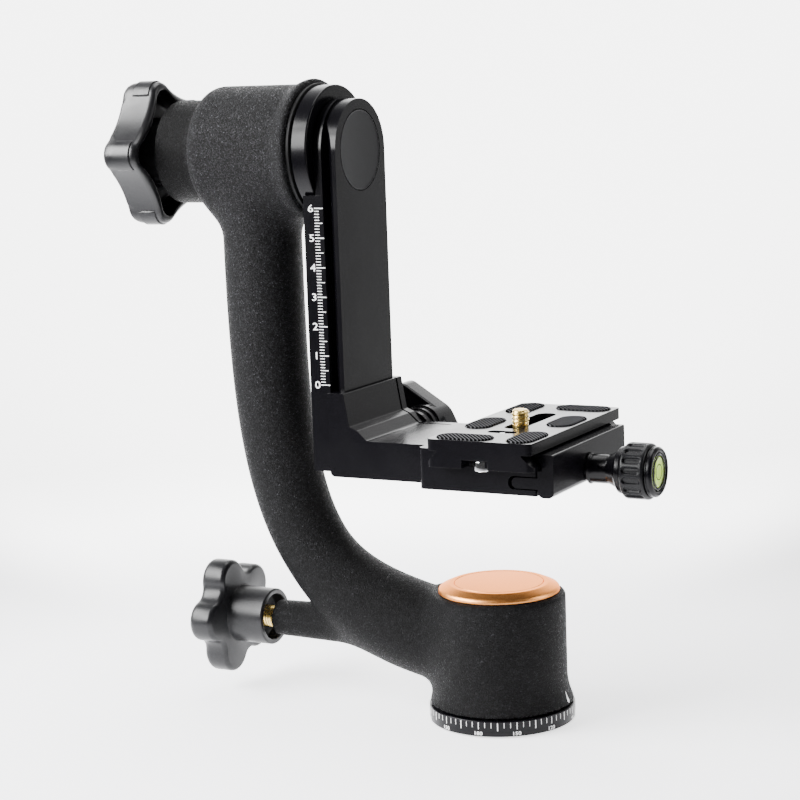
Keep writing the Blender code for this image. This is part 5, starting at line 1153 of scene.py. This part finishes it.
# %% Pan knob
pan_knob_low, pan_knob_high = span("pan_lock_knob")
LEFT, COLLAR_END = pan_knob_low[0], pan_knob_high[0]
RIGHT = LEFT + 9.7
COLLAR = 10.1
rings = [
    (0, 0, LEFT + 0.4), (0, 6, LEFT + 0.4), (0, 6.7, LEFT + 0.1), (1, -4, LEFT),
    *rim(1, -2.6, LEFT + 2.6, 2.6, -90, 0), (1, 0, LEFT + 4.5), *rim(1, -1.7, RIGHT - 1.7, 1.7, 0, 90),
    (0, COLLAR + 0.8, RIGHT), (0, COLLAR + 0.2, RIGHT + 0.2), (0, COLLAR, RIGHT + 0.8),
    *rim(0, COLLAR - 0.6, COLLAR_END - 0.6, 0.6, 0, 90), *rim(0, 8.5, COLLAR_END - 0.3, 0.3, 90, 180, 3),
    (0, 8.2, COLLAR_END - 4.8), (0, 8.0, COLLAR_END - 5.0), (0, 4.3, COLLAR_END - 5.0),
    (0, 4.3, LEFT + 3.7), (0, 0, LEFT + 3.7),
]
pan_knob = star_knob("pan_knob_moulded", (5, 14.0, 7.2, 15.6), rings, BOSS_LINE)
dress(pan_knob, "pan_lock", "low_knob_black", ["pan_lock_knob"], angle=50)

# %% [markdown]
# A screw thread is the same polar idea with a twist: the radius falls and rises as the distance along the
# axis, counted in pitches, runs ahead of the angle, counted in turns. So the ridge climbs a pitch in a turn.

# %% Helper: a winding thread
PITCH_RINGS = 12


def threaded(name, radius, depth, pitch, spans, along, centre, steps=64):
    """Rings of (radius, distance); between the two distances in `spans` a ridge of that depth winds round."""
    start, finish, ends = spans
    level = np.arange(start, finish, pitch / PITCH_RINGS)[:, None]
    angle = np.linspace(0, 2 * np.pi, steps, endpoint=False)
    wave = np.abs((level / pitch - angle / (2 * np.pi)) % 1 - 0.5) * 2
    fade = np.minimum(1, np.minimum(level - start, finish - level) / (0.5 * pitch))
    thread = radius - depth * (1 - wave * np.clip(fade, 0, 1))
    before, after = ([entry for entry in ends if (entry[1] > finish) == late] for late in (False, True))
    rings = [np.full(steps, r) for r, _ in before] + list(thread) + [np.full(steps, r) for r, _ in after]
    heights = [d for _, d in before] + list(level[:, 0]) + [d for _, d in after]
    radii, heights = np.array(rings), np.array(heights)[:, None]
    grid = np.stack([radii * np.cos(angle), radii * np.sin(angle), heights + 0 * angle], -1)
    return solid(name, *skin(laid(grid, along, centre)))


print("a thread has", PITCH_RINGS, "rings in each pitch")

# %% [markdown]
# The lock rod runs through the boss and carries the pan knob. Only the stretch between knob and boss can be
# seen, so the thread winds there, and the rest of the rod is plain.

# %% Lock rod
ROD = radius_of("pan_lock_rod")
ends = [(0, rod_low[0]), (ROD - 0.5, rod_low[0]), (ROD, rod_low[0] + 0.5), (ROD, -98.0),
        (ROD, -82.0), (ROD, rod_high[0] - 0.5), (ROD - 0.5, rod_high[0]), (0, rod_high[0])]
rod = threaded("pan_lock_rod_threaded", ROD, 0.42, 1.0, (-97.9, -82.1, ends), "X", BOSS_LINE)
dress(rod, "pan_lock", "brass", ["pan_lock_rod"], angle=70)

# %% [markdown]
# ## The bracket and its clamp
#
# The bracket is one milled piece: an upright that leans a little, a slit that lets the far jaw flex, a
# rolled step, and a flat platform that ends in the fixed half of the clamp. Its side view is drawn once and
# pressed to the upright's width; the wider clamp body is made the same way and joined to it.

# %% Bracket: the blank
bracket_low, bracket_high = span("clamp_bracket")
BACK, FOOT, TOP = bracket_low[0], bracket_low[2], bracket_high[2]
BRACKET_HALF, CLAMP_HALF = 21.0, radius_of("clamp_bracket")
PLATFORM = FOOT + 12.9
ROOT_X, ROOT_Z = RAIL_FACE + GAP + 3.0, FOOT + 17.5
plate_low, plate_high = span("camera_plate")
PLATE_X, PLATE_Y = ((plate_low + plate_high) / 2)[:2]
PLATE_FOOT, PLATE_TOP = plate_low[2], plate_high[2]
PLATE_LEFT, PLATE_RIGHT = plate_low[0], plate_high[0]
CLAMP_LEFT, CLAMP_RIGHT = PLATE_LEFT - 6.0, bracket_high[0]
CLAMP_TOP = PLATE_FOOT + 4.8
side_view = rounded([
    (BACK, FOOT, 1.8), (CLAMP_LEFT + 4, FOOT, 0), (CLAMP_LEFT + 4, PLATFORM, 0),
    (ROOT_X + 6.6, PLATFORM, 2.4), (ROOT_X + 2.9, ROOT_Z - 1.2, 1.5), (ROOT_X, ROOT_Z, 0.5),
    (ROOT_X - 1.9, TOP, 0.5), (BACK, TOP, 0.5),
], 8, loop=True)
bracket = slab(side_view, -BRACKET_HALF, BRACKET_HALF, "Y")
bracket.name = "clamp_bracket_milled"
lip_foot = PLATE_FOOT + 1.2
lip_tip = PLATE_LEFT + (CLAMP_TOP - lip_foot) - GAP * math.sqrt(2)
body_view = [
    (CLAMP_LEFT, FOOT), (CLAMP_RIGHT, FOOT), (CLAMP_RIGHT, PLATE_FOOT - GAP),
    (PLATE_LEFT - GAP, PLATE_FOOT - GAP), (PLATE_LEFT - GAP, lip_foot), (lip_tip, CLAMP_TOP),
    (CLAMP_LEFT, CLAMP_TOP),
]
body = slab(body_view, -CLAMP_HALF, CLAMP_HALF, "Y")
plan = rounded([
    (CLAMP_LEFT, -CLAMP_HALF, 1.8), (CLAMP_RIGHT, -CLAMP_HALF, 0.6), (CLAMP_RIGHT, CLAMP_HALF, 0.6),
    (CLAMP_LEFT, CLAMP_HALF, 1.8),
], 8, loop=True)
carve(body, slab(plan, FOOT - 2, CLAMP_TOP + 2, "Z"), operation="INTERSECT")
carve(bracket, body, operation="UNION")
print("bracket blank of", len(bracket.data.polygons), "faces")

# %% [markdown]
# Channel, slit, tongue slot and bores are cut from the blank as on a milling machine. The slit lets the far
# side of the channel bend, so that the height lock can pull it onto the rail.

# %% Bracket: the cuts
CHANNEL = RAIL_FACE + GAP
web, wide = RAIL_HALF - 2.5 + GAP, RAIL_HALF + GAP
channel = [(BACK - CLEAR, -web), (RAIL_FACE - 4 - GAP, -web), (face_back - GAP, -wide), (CHANNEL, -wide)]
channel += [(x, -y) for x, y in channel[::-1]]
slit_y, slit_half = wide - 0.52, 0.52
slit_end = circle_arc((-25.5, slit_y), slit_half, -90, 90, 10)
slit = np.concatenate([[(CHANNEL - 1, slit_y - slit_half)], slit_end, [(CHANNEL - 1, slit_y + slit_half)]])
TONGUE_TOP = FOOT + 5.9
slot_low, slot_left = TONGUE_TOP - 4.05, CLAMP_RIGHT - 9.9
slot = rounded([
    (slot_left, slot_low, 1.9), (CLAMP_RIGHT + 3, slot_low, 0), (CLAMP_RIGHT + 3, TONGUE_TOP + 0.45, 0),
    (slot_left, TONGUE_TOP + 0.45, 1.9),
], 6, loop=True)
carve(
    bracket,
    slab(channel, FOOT - CLEAR, TOP + CLEAR, "Z"),
    slab(slit, FOOT - CLEAR, TOP + CLEAR, "Z"),
    brick((CHANNEL - 0.3, -1.9, FOOT - CLEAR), (RAIL_FACE + 1.5, 1.9, 90.3)),
    plug(3.3, 4.0, BRACKET_HALF + CLEAR, "Y", LOCK_LINE, 48),
    slab(slot, -CLAMP_HALF - CLEAR, CLAMP_HALF + CLEAR, "Y"),
    plug(2.8, 4.7, CLAMP_RIGHT + CLEAR, "X", CLAMP_LINE, 40),
)
soften(bracket, 0.3)
dress(bracket, "bracket", "satin_black", ["clamp_bracket"], flats=True)

# %% [markdown]
# The moving jaw mirrors the clamp's fixed lip, and its tongue runs in the body's slot so that it can't tilt.
# Its side view holds both, and one pressing makes the piece.

# %% Moving jaw
jaw_low, jaw_high = span("clamp_jaw")
JAW_RIGHT, JAW_FOOT = jaw_high[0], jaw_low[2]
INNER = CLAMP_RIGHT + GAP + 0.1
mirror_tip = PLATE_RIGHT - (CLAMP_TOP - lip_foot) + GAP * math.sqrt(2)
jaw_view = rounded([
    (INNER, JAW_FOOT, 2.0), (JAW_RIGHT, JAW_FOOT, 2.0), (JAW_RIGHT, CLAMP_TOP, 0.5),
    (mirror_tip, CLAMP_TOP, 0.2),
    (PLATE_RIGHT + GAP, lip_foot, 0), (PLATE_RIGHT + GAP, PLATE_FOOT - 2 * GAP, 0),
    (INNER, PLATE_FOOT - 2 * GAP, 0), (INNER, TONGUE_TOP, 0.2), (INNER - 9.1, TONGUE_TOP, 1.75),
    (INNER - 9.1, TONGUE_TOP - 3.6, 1.75), (INNER, TONGUE_TOP - 3.6, 0.2),
], 8, loop=True)
jaw = slab(jaw_view, -CLAMP_HALF, CLAMP_HALF, "Y")
jaw.name = "clamp_jaw_milled"
carve(jaw, plug(2.8, INNER - 12, JAW_RIGHT + CLEAR, "X", CLAMP_LINE, 40))
soften(jaw, 0.4)
dress(jaw, "jaw", "satin_black", ["clamp_jaw"], flats=True)

# %% [markdown]
# The height lock pulls the slit jaw onto the rail. Its knob has two tapered wings on a round hub, and a
# collar turned in three steps. The wings' outline is four arcs that touch, pressed with round edges.

# %% Height lock
wing_low, wing_high = span("height_lock_knob")
COLLAR_START, WING_END = wing_low[1], wing_high[1]
WING_START = WING_END - 10.0
WING_REACH, WING_TIP, WING_HUB, WING_TURN = 14.6, 3.6, 7.6, 132.0
lean = math.degrees(math.acos((WING_HUB - WING_TIP) / WING_REACH))
outline = []
for turn in (WING_TURN, WING_TURN + 180):
    tip = WING_REACH * np.array([math.cos(math.radians(turn)), math.sin(math.radians(turn))])
    outline += [circle_arc(tip, WING_TIP, turn - lean, turn + lean, 14),
                circle_arc((0, 0), WING_HUB, turn + lean, turn + 180 - lean, 10)]
outline = np.concatenate(outline)
wing = pressed("height_knob_moulded", outline, edged(WING_START, WING_END, 1.5, 6), "Y", LOCK_LINE)
collar = turned(rounded([
    (0, COLLAR_START, 0), (6.2, COLLAR_START, 0.3), (6.2, COLLAR_START + 2.4, 0.3),
    (6.9, COLLAR_START + 2.4, 0.3), (6.9, COLLAR_START + 5.2, 0.3), (WING_HUB, COLLAR_START + 5.2, 0.3),
    (WING_HUB, WING_START + 3, 0), (0, WING_START + 3, 0),
], 3), "Y", LOCK_LINE, 96)
carve(wing, solid("collar", *skin(collar)), operation="UNION")
carve(wing, plug(3.3, COLLAR_START - CLEAR, WING_END - 2.8, "Y", LOCK_LINE, 40))
dress(wing, "height_lock", "satin_black", ["height_lock_knob"], angle=40, flats=True)

# %% [markdown]
# ## The clamp knob
#
# A waisted core carries a rubber ring with shallow ovals pressed into it, an end ring, and a round spirit
# level. Core and end ring are turned. Their thin grooves and flanges are drawn corner by corner, because they
# are what catches the light.

# %% Core and end ring
core_low, core_high = span("clamp_knob_core")
START, GRIP_LOW = core_low[0], span("clamp_knob_grip")[0][0]
GRIP_HIGH = span("clamp_knob_grip")[1][0]
SPIGOT = 7.3
core = lathe(
    "clamp_core_turned",
    [(0, core_high[0], 0), (SPIGOT, core_high[0], 0.2), (SPIGOT, GRIP_LOW - GAP, 0),
     (8.0, GRIP_LOW - GAP, 0.25), (8.0, GRIP_LOW - 1.1, 0.15),
     (7.75, GRIP_LOW - 1.25, 0.05), (7.75, GRIP_LOW - 2.1, 0.4),
     (6.2, GRIP_LOW - 3.2, 0.8), (4.85, START + 7.0, 2.6), (4.85, START + 1.0, 0.6), (5.4, START, 0.2),
     (2.8, START, 0.2), (2.8, core_high[0] - 0.6, 0), (0, core_high[0] - 0.6, 0)],
    "X", CLAMP_LINE, 128,
)
dress(core, "clamp_knob", "satin_black", ["clamp_knob_core"], angle=50)

bezel_low, bezel_high = span("clamp_knob_bezel")
END = bezel_high[0]
bezel = lathe(
    "clamp_bezel_turned",
    [(0, END - 5.1, 0), (6.4, END - 5.1, 0), (6.4, END - 0.5, 0.1), (6.8, END - 0.1, 0.2), (7.6, END, 0.5),
     (8.3, END - 0.7, 0.6), (8.3, END - 1.55, 0.1), (8.1, END - 1.65, 0.05), (8.1, END - 1.85, 0.05),
     (8.3, END - 1.95, 0.1), (8.3, GRIP_HIGH + GAP, 0.1), (SPIGOT, GRIP_HIGH + GAP, 0),
     (SPIGOT, bezel_low[0], 0), (0, bezel_low[0], 0)],
    "X", CLAMP_LINE, 128,
)
dress(bezel, "clamp_knob", "satin_black", ["clamp_knob_bezel"], angle=50)

# %% [markdown]
# The rubber ring is pressed in a die, so its ovals have soft edges. A cut by seventeen cutters would leave
# sharp ones. Its surface is a radius over angle and length: it drops inside each oval, whose edge is where
# the distance from the oval's spine equals its half width.

# %% Rubber ring
OVALS, OVAL_LENGTH, OVAL_WIDTH, OVAL_DEPTH = 17, 6.4, 2.4, 0.8
GRIP = 9.3
angle = np.linspace(0, 2 * np.pi, OVALS * 26, endpoint=False)
place = np.concatenate([
    [0], 0.9 - 0.9 * np.cos(np.linspace(0.3, np.pi / 2, 6)), np.linspace(1.0, 7.4, 34),
    8.4 - 0.9 + 0.9 * np.sin(np.linspace(0, np.pi / 2 - 0.3, 6)), [8.4],
])[:, None]
edge = np.clip(np.minimum(place, 8.4 - place) / 0.9, 0, 1)
crown = GRIP - 0.9 * (1 - np.sqrt(1 - (1 - edge) ** 2))
across = ((angle * OVALS / (2 * np.pi) + 0.5) % 1 - 0.5) * 2 * np.pi * GRIP / OVALS
beyond = np.maximum(np.abs(place - 4.2) - (OVAL_LENGTH - OVAL_WIDTH) / 2, 0)
inside = OVAL_WIDTH / 2 - np.hypot(across, beyond)
radius = crown - OVAL_DEPTH * ease(inside, -0.1, 0.45)
outer = np.stack([radius * np.cos(angle), radius * np.sin(angle), GRIP_LOW + place + 0 * angle], -1)
bore = SPIGOT + GAP
inner = np.stack([np.stack([bore * np.cos(angle), bore * np.sin(angle), x + 0 * angle], -1)
                  for x in (GRIP_HIGH, GRIP_LOW)])
grip = solid("clamp_grip_ribbed", *skin(laid(np.concatenate([outer, inner]), "X", CLAMP_LINE), loop=True))
dress(grip, "clamp_knob", "ring_rubber", ["clamp_knob_grip"], angle=50)

# %% [markdown]
# The level is three pieces, one inside the other: a clear cup, the green liquid in it, and a lens whose crown
# is a little domed. Each is a solid of its own, so the light bends in them by itself.

# %% Spirit level
cup = lathe(
    "level_cup_moulded",
    [(0, END - 3.9, 0), (5.4, END - 3.9, 0.2), (5.4, END - 0.3, 0.15), (6.1, END - 0.3, 0.2),
     (6.1, END - 4.8, 0.2), (0, END - 4.8, 0)],
    "X", CLAMP_LINE, 96,
)
dress(cup, "clamp_knob", "clear", ["level_cup"], angle=50)
fluid = lathe(
    "level_liquid_cast",
    [(0, END - 3.6, 0), (5.1, END - 3.6, 0.2), (5.1, END - 1.6, 0.2), (0, END - 1.6, 0)],
    "X", CLAMP_LINE, 96,
)
dress(fluid, "clamp_knob", "liquid", ["level_liquid"], angle=50)
lens = lathe(
    "level_lens_moulded",
    [(0, END - 1.3, 0), (5.1, END - 1.3, 0.1), (5.1, END - 0.5, 0.1), (4.4, END - 0.35, 1.0),
     (0, END - 0.3, 0)],
    "X", CLAMP_LINE, 96,
)
dress(lens, "clamp_knob", "clear", ["level_lens"], angle=50)

# %% [markdown]
# On the lens a thin black circle is printed, the mark by which a level is read, and a black seal runs round
# its edge. Both are turned like the larger pieces: an image on the lens would bend with its crown.

# %% Level circle and seal
circle = lathe(
    "level_circle",
    [(2.35, END - 0.32, 0), (2.65, END - 0.32, 0), (2.65, END - 0.26, 0), (2.35, END - 0.26, 0)],
    "X", CLAMP_LINE, 72, loop=True,
)
dress(circle, "clamp_knob", "rubber_black")
edge_ring = lathe(
    "level_edge_seal",
    [(5.15, END - 0.45, 0.05), (5.45, END - 0.45, 0.05), (5.45, END - 0.2, 0.05), (5.15, END - 0.2, 0.05)],
    "X", CLAMP_LINE, 96, loop=True,
)
dress(edge_ring, "clamp_knob", "rubber_black")

# %% [markdown]
# ## The camera plate
#
# The plate is a dovetail with a wide top. It is drawn from its end, pressed to its length, and then given the
# round corners of its plan. The slot for the camera screw and the small cross slot are cut through it.

# %% Plate: blank and slots
half = (plate_high[1] - plate_low[1]) / 2
MIDDLE = (PLATE_X, PLATE_Y, 0)
DOVETAIL = (PLATE_RIGHT - PLATE_LEFT) / 2
right = [(DOVETAIL, PLATE_FOOT), (DOVETAIL, PLATE_FOOT + 1.2), (DOVETAIL - 4, PLATE_FOOT + 5.2),
         (DOVETAIL - 4, PLATE_TOP - 3.8), (DOVETAIL - 0.5, PLATE_TOP - 3.8), (DOVETAIL - 0.5, PLATE_TOP)]
plate = slab(right + [(-x, z) for x, z in right[::-1]], -half - CLEAR, half + CLEAR, "Y", MIDDLE)
plate.name = "camera_plate_milled"
corners = rounded([(-DOVETAIL, -half, 2.6), (DOVETAIL, -half, 2.6), (DOVETAIL, half, 2.6),
                   (-DOVETAIL, half, 2.6)], 10, loop=True)
carve(plate, slab(corners, PLATE_FOOT - CLEAR, PLATE_TOP + CLEAR, "Z", MIDDLE), operation="INTERSECT")


def upright(outline):
    """The same outline turned by a right angle."""
    return np.stack([-outline[:, 1], outline[:, 0]], -1)


SLOT_LOW, SLOT_HIGH, SLOT_WIDTH = -12.3, 19.5, 6.9
slot_middle = (0, (SLOT_LOW + SLOT_HIGH) / 2)
slot_length = SLOT_HIGH - SLOT_LOW
slot = upright(stadium(slot_length, SLOT_WIDTH)) + slot_middle
pocket = upright(stadium(slot_length + 10.1, 17.0)) + slot_middle
cross = stadium(10.2, 4.2, 16) + (0, -18.8)
carve(
    plate,
    slab(slot, PLATE_FOOT - CLEAR, PLATE_TOP + CLEAR, "Z", MIDDLE),
    slab(pocket, PLATE_FOOT - CLEAR, PLATE_FOOT + 5, "Z", MIDDLE),
    slab(cross, PLATE_TOP - 3, PLATE_TOP + CLEAR, "Z", MIDDLE),
)
print("plate with its slots:", len(plate.data.polygons), "faces")

# %% [markdown]
# Each end has a notch below for a stop screw, and the top has six shallow seats for the pads. When all cuts
# are made, every edge is broken at once.

# %% Plate: notches and seats
STOP_Y = half - 3.2
for side in (-1, 1):
    low_y, high_y = sorted((side * (half + CLEAR), side * (half - 6.4)))
    carve(
        plate,
        brick((PLATE_X + 1.5 * side - 4.7, PLATE_Y + low_y, PLATE_FOOT - CLEAR),
              (PLATE_X + 1.5 * side + 4.7, PLATE_Y + high_y, PLATE_FOOT + 2.9)),
        plug(1.75, PLATE_FOOT, PLATE_FOOT + 5.4, "Z", (PLATE_X, PLATE_Y + side * STOP_Y, 0), 32),
    )

PAD_LENGTH, PAD_WIDTH = 19.4, 9.0
first_pads = [(-7.3, -31.4, True), (12.5, -26.4, False), (-12.5, -5.2, False)]
pad_places = first_pads + [(-x, -y, along_x) for x, y, along_x in first_pads]
for x, y, along_x in pad_places:
    seat = stadium(PAD_LENGTH + 2 * GAP, PAD_WIDTH + 2 * GAP, 16)
    seat = seat if along_x else upright(seat)
    carve(plate, slab(seat, PLATE_TOP - 0.9, PLATE_TOP + CLEAR, "Z", (PLATE_X + x, PLATE_Y + y, 0)))
soften(plate, 0.22)
dress(plate, "plate", "satin_black", ["camera_plate"], flats=True)

# %% [markdown]
# The pads are rubber with fine ribs that run the same diagonal way on all six. A texture alone would leave
# their outline smooth, so the ribs are in the mesh: a height, which is a cosine of the distance across them.

# %% Pads
RIB_DEPTH = 0.4
PAD_TOP = span("plate_pad_1")[1][2]
PAD_FOOT = span("plate_pad_1")[0][2]
outline = stadium(PAD_LENGTH, PAD_WIDTH, 60)
straight = np.linspace(0, 1, 62)[1:-1, None]
outline = np.concatenate([outline[:61], outline[60] + straight * (outline[61] - outline[60]),
                          outline[61:], outline[-1] + straight * (outline[0] - outline[-1])])
spine = np.stack([np.clip(outline[:, 0], -(PAD_LENGTH - PAD_WIDTH) / 2, (PAD_LENGTH - PAD_WIDTH) / 2),
                  0 * outline[:, 0]], -1)
share = np.concatenate([[0, 0.97, 1, 1, 0.99], np.linspace(0.97, 0, 34)])[:, None, None]
level = np.concatenate([[PAD_FOOT, PAD_FOOT, PAD_FOOT + 0.1, PAD_TOP - 0.2, PAD_TOP - 0.06], [PAD_TOP] * 34])
for index, (x, y, along_x) in enumerate(pad_places, 1):
    flat = spine + (outline - spine) * share
    if not along_x:
        flat = np.stack([-flat[..., 1], flat[..., 0]], -1)
    here = flat + (PLATE_X + x + PAN[0] / MM, PLATE_Y + y + PAN[1] / MM)
    across = -here[..., 0] * math.sin(RIB_TURN) + here[..., 1] * math.cos(RIB_TURN)
    inner = ease(share[..., 0], 0.995, 0.95) * (np.arange(len(level)) > 4)[:, None]
    groove = np.clip(0.6 - 0.9 * np.cos(2 * np.pi * across / RIB_PITCH), 0, 1)
    height = level[:, None] - RIB_DEPTH * groove * inner
    grid = np.concatenate([flat, height[..., None]], -1)
    pad = solid(f"plate_pad_{index}_ribbed", *skin(laid(grid, "Z", (PLATE_X + x, PLATE_Y + y, 0))))
    dress(pad, "plate", "pad_rubber", [f"plate_pad_{index}"], angle=50)

# %% [markdown]
# The small bright things: the camera screw with its coarse thread, the stop screws under the plate's ends and
# the pin in the cross slot.

# %% Camera screw, stops and pin
screw_low, screw_high = span("camera_screw")
SCREW_LINE = ((screw_low[0] + screw_high[0]) / 2, (screw_low[1] + screw_high[1]) / 2, 0)
SCREW_TOP, HEAD_LOW = screw_high[2], screw_low[2]
HEAD_HIGH = HEAD_LOW + 3.0
THREAD_LOW = PLATE_TOP + 0.3
ends = [(0, HEAD_LOW), (7.4, HEAD_LOW), (7.8, HEAD_LOW + 0.4), (7.8, HEAD_HIGH - 0.3), (7.5, HEAD_HIGH),
        (2.8, HEAD_HIGH), (2.7, THREAD_LOW - 0.1), (2.4, SCREW_TOP - 0.3), (2.0, SCREW_TOP), (0, SCREW_TOP)]
brass_screw = threaded(
    "camera_screw_threaded", 3.0, 0.5, 1.27, (THREAD_LOW, SCREW_TOP - 0.35, ends), "Z", SCREW_LINE, 72
)
dress(brass_screw, "camera_screw", "brass", ["camera_screw"], angle=60)

for name, side in (("near", -1), ("far", 1)):
    low, high = (corner[2] for corner in span("plate_stop_" + name))
    rim_high = PLATE_FOOT + 2.6
    stop = lathe(
        f"plate_stop_{name}_turned",
        [(0, low, 0), (2.3, low, 0.3), (2.75, low + 0.45, 0.3), (2.75, rim_high, 0.4), (1.45, rim_high, 0),
         (1.45, high, 0), (0, high, 0)],
        "Z", (PLATE_X, PLATE_Y + side * STOP_Y, 0), 64,
    )
    dress(stop, "plate", "chrome", ["plate_stop_" + name], angle=50)

pin_low, pin_high = span("anti_twist_pin")
pin = lathe(
    "anti_twist_pin_turned",
    [(0, pin_low[2], 0), (1.2, pin_low[2], 0), (1.2, pin_high[2], 0.5), (0, pin_high[2], 0)],
    "Z", ((pin_low[0] + pin_high[0]) / 2, (pin_low[1] + pin_high[1]) / 2, 0), 40,
)
dress(pin, "plate", "chrome", ["anti_twist_pin"], angle=50)

# %% [markdown]
# Some inner pieces already have their right shape in the frame: bushes, bearings, washers, shafts and screws.
# They stay, and take the same finishes as everything else.

# %% Finishes for the frame's own pieces
kept = 0
DARKER = {"height_lock_washer": "satin_black"}
for entry in frame["record"]["subparts"]:
    node = frame["nodes"][entry["node"]]
    if node.hide_render:
        continue
    node.data.materials.clear()
    node.data.materials.append(FINISH[DARKER.get(entry["node"], entry["material_slot"])])
    kept += 1
print(kept, "pieces of the frame keep their shape")

# %% [markdown]
# ## The studio
#
# The photograph is taken on a white sweep in soft light, with a long lens. The camera stands where a fit to
# measured points of the photo puts it: it is turned, raised and rolled by three angles, at a distance from a
# point on the head, and its lens follows from a focus in pixels.

# %% Camera
TURN, RISE, ROLL = math.radians(28.22), math.radians(9.05), math.radians(-2.06)
TARGET, DISTANCE = (-35.64, 0, 108.12), 747.69
FOCUS_PIXELS, IMAGE_PIXELS = 2176.41, 800
back = Vector((math.sin(TURN) * math.cos(RISE), -math.cos(TURN) * math.cos(RISE), math.sin(RISE)))
level = Vector((math.cos(TURN), math.sin(TURN), 0))
above = back.cross(level)
right = level * math.cos(ROLL) + above * math.sin(ROLL)
above = above * math.cos(ROLL) - level * math.sin(ROLL)
eye = Vector(PAN) + (Vector(TARGET) + back * DISTANCE) * MM
camera = bpy.data.objects.new("camera", bpy.data.cameras.new("camera"))
camera.data.sensor_width = 36
camera.data.lens = 36 * FOCUS_PIXELS / IMAGE_PIXELS
camera.data.clip_start = 0.01
camera.matrix_world = Matrix((right, above, back)).transposed().to_4x4()
camera.location = eye
bpy.context.scene.collection.objects.link(camera)
bpy.context.scene.camera = camera
print(f"camera at {tuple(round(v, 3) for v in eye)} m, lens {camera.data.lens:.1f} mm")

# %% [markdown]
# The room is a white sky, bright behind the head and dim on the camera's side. That leaves the near faces
# dark and draws bright edges round them, as a lit wall behind a product does. A picture of a room could do
# the same, but a ramp over one angle is smooth and easy to change.

# %% Room brightness by direction
BEHIND = Vector((-math.sin(TURN), math.cos(TURN), 0))
ROOM = [(-1.0, 0.07), (-0.2, 0.09), (0.35, 0.28), (0.72, 1.35), (0.90, 5.0), (1.0, 6.0)]


def room_light(owner, source, out):
    """A ramp over the cosine of the angle between a direction and the wall behind the head."""
    cosine = add(owner, "VectorMath", operation="DOT_PRODUCT")
    cosine.inputs[1].default_value = BEHIND
    wire(owner, source, out, cosine, 0)
    place = add(owner, "MapRange", From_Min=-1, From_Max=1, To_Min=0, To_Max=1)
    wire(owner, cosine, "Value", place, "Value")
    ramp = add(owner, "ValToRGB")
    wire(owner, place, "Result", ramp, "Fac")
    ramp.color_ramp.interpolation = "EASE"
    brightest = ROOM[-1][1]
    elements = ramp.color_ramp.elements
    elements.remove(elements[1])
    for value, strength in ROOM:
        element = elements[0] if value == -1 else elements.new((value + 1) / 2)
        element.color = (*[strength / brightest] * 3, 1)
    scale = add(owner, "Math", operation="MULTIPLY")
    scale.inputs[1].default_value = brightest
    wire(owner, ramp, "Color", scale, 0)
    return scale


world = bpy.data.worlds.new("pale_room")
bpy.context.scene.world = world
world.use_nodes = True
direction = add(world, "TexCoord")
sky = world.node_tree.nodes["Background"]
sky.inputs["Color"].default_value = (1, 1, 1, 1)
wire(world, room_light(world, direction, "Generated"), "Value", sky, "Strength")
print("room is", ROOM[-1][1], "bright behind the head and", ROOM[0][1], "on the camera's side")

# %% [markdown]
# The floor is white paper that glows a little, so it stays white and keeps only the shadow near the head.
# Farther out it takes the brightness of the room behind it, so no horizon shows in the photo's view.

# %% Floor
bpy.ops.mesh.primitive_plane_add(size=16)
floor = bpy.context.object
floor.name = "studio_floor"
floor.data.transform(Matrix.Translation((0, 0, -0.0005)))
paper, shader = principled("paper", (0.8, 0.8, 0.82), 0.9, Specular_IOR_Level=0.0)
place = add(paper, "TexCoord")
straight = add(paper, "VectorMath", operation="NORMALIZE")
reach = add(paper, "VectorMath", operation="LENGTH")
wire(paper, place, "Object", straight, 0)
wire(paper, place, "Object", reach, 0)
far = room_light(paper, straight, "Vector")
NEAR_GLOW = 1.9
glow = add(paper, "MapRange", interpolation_type="SMOOTHSTEP", From_Min=0.13, From_Max=0.36, To_Min=NEAR_GLOW)
wire(paper, reach, "Value", glow, "Value")
wire(paper, far, "Value", glow, "To Max")
wire(paper, glow, "Result", shader, "Emission Strength")
shader.inputs["Emission Color"].default_value = (1, 1, 1, 1)
drift(paper, reach, "Value", shader, "Base Color", (0.80, 0.80, 0.83), (0, 0, 0), 0.16, 0.5)
floor.data.materials.append(paper)
print("floor glows with", NEAR_GLOW, "near the head")

# %% [markdown]
# Large soft lamps stand round the head, as soft boxes do in a studio. Most of the light comes from the left
# and from the front, and a small lamp gives the black edges their glint.

# %% Lamps
def lamp(name, place, size, power):
    """A soft rectangular lamp at a place in millimetres from the pan axis, facing the head."""
    light = bpy.data.lights.new(name, "AREA")
    light.shape = "RECTANGLE"
    light.size, light.size_y = size
    light.energy = power
    holder = bpy.data.objects.new(name, light)
    bpy.context.scene.collection.objects.link(holder)
    holder.location = Vector(PAN) + Vector(place) * MM
    aim = Vector(PAN) + Vector(TARGET) * MM - holder.location
    holder.rotation_euler = aim.to_track_quat("-Z", "Y").to_euler()


lamp("key_left", (-600, -300, 470), (0.4, 0.5), 14)
lamp("key_front", (-640, -660, 560), (0.5, 0.6), 12)
lamp("glint", (-480, -800, 480), (0.3, 0.4), 9)
lamp("top", (-60, 200, 950), (0.6, 0.6), 7)
lamp("edge_right", (700, 300, 300), (0.3, 0.7), 4)
print(len(bpy.data.lights), "lamps")

# %% Finish
print("scene built")
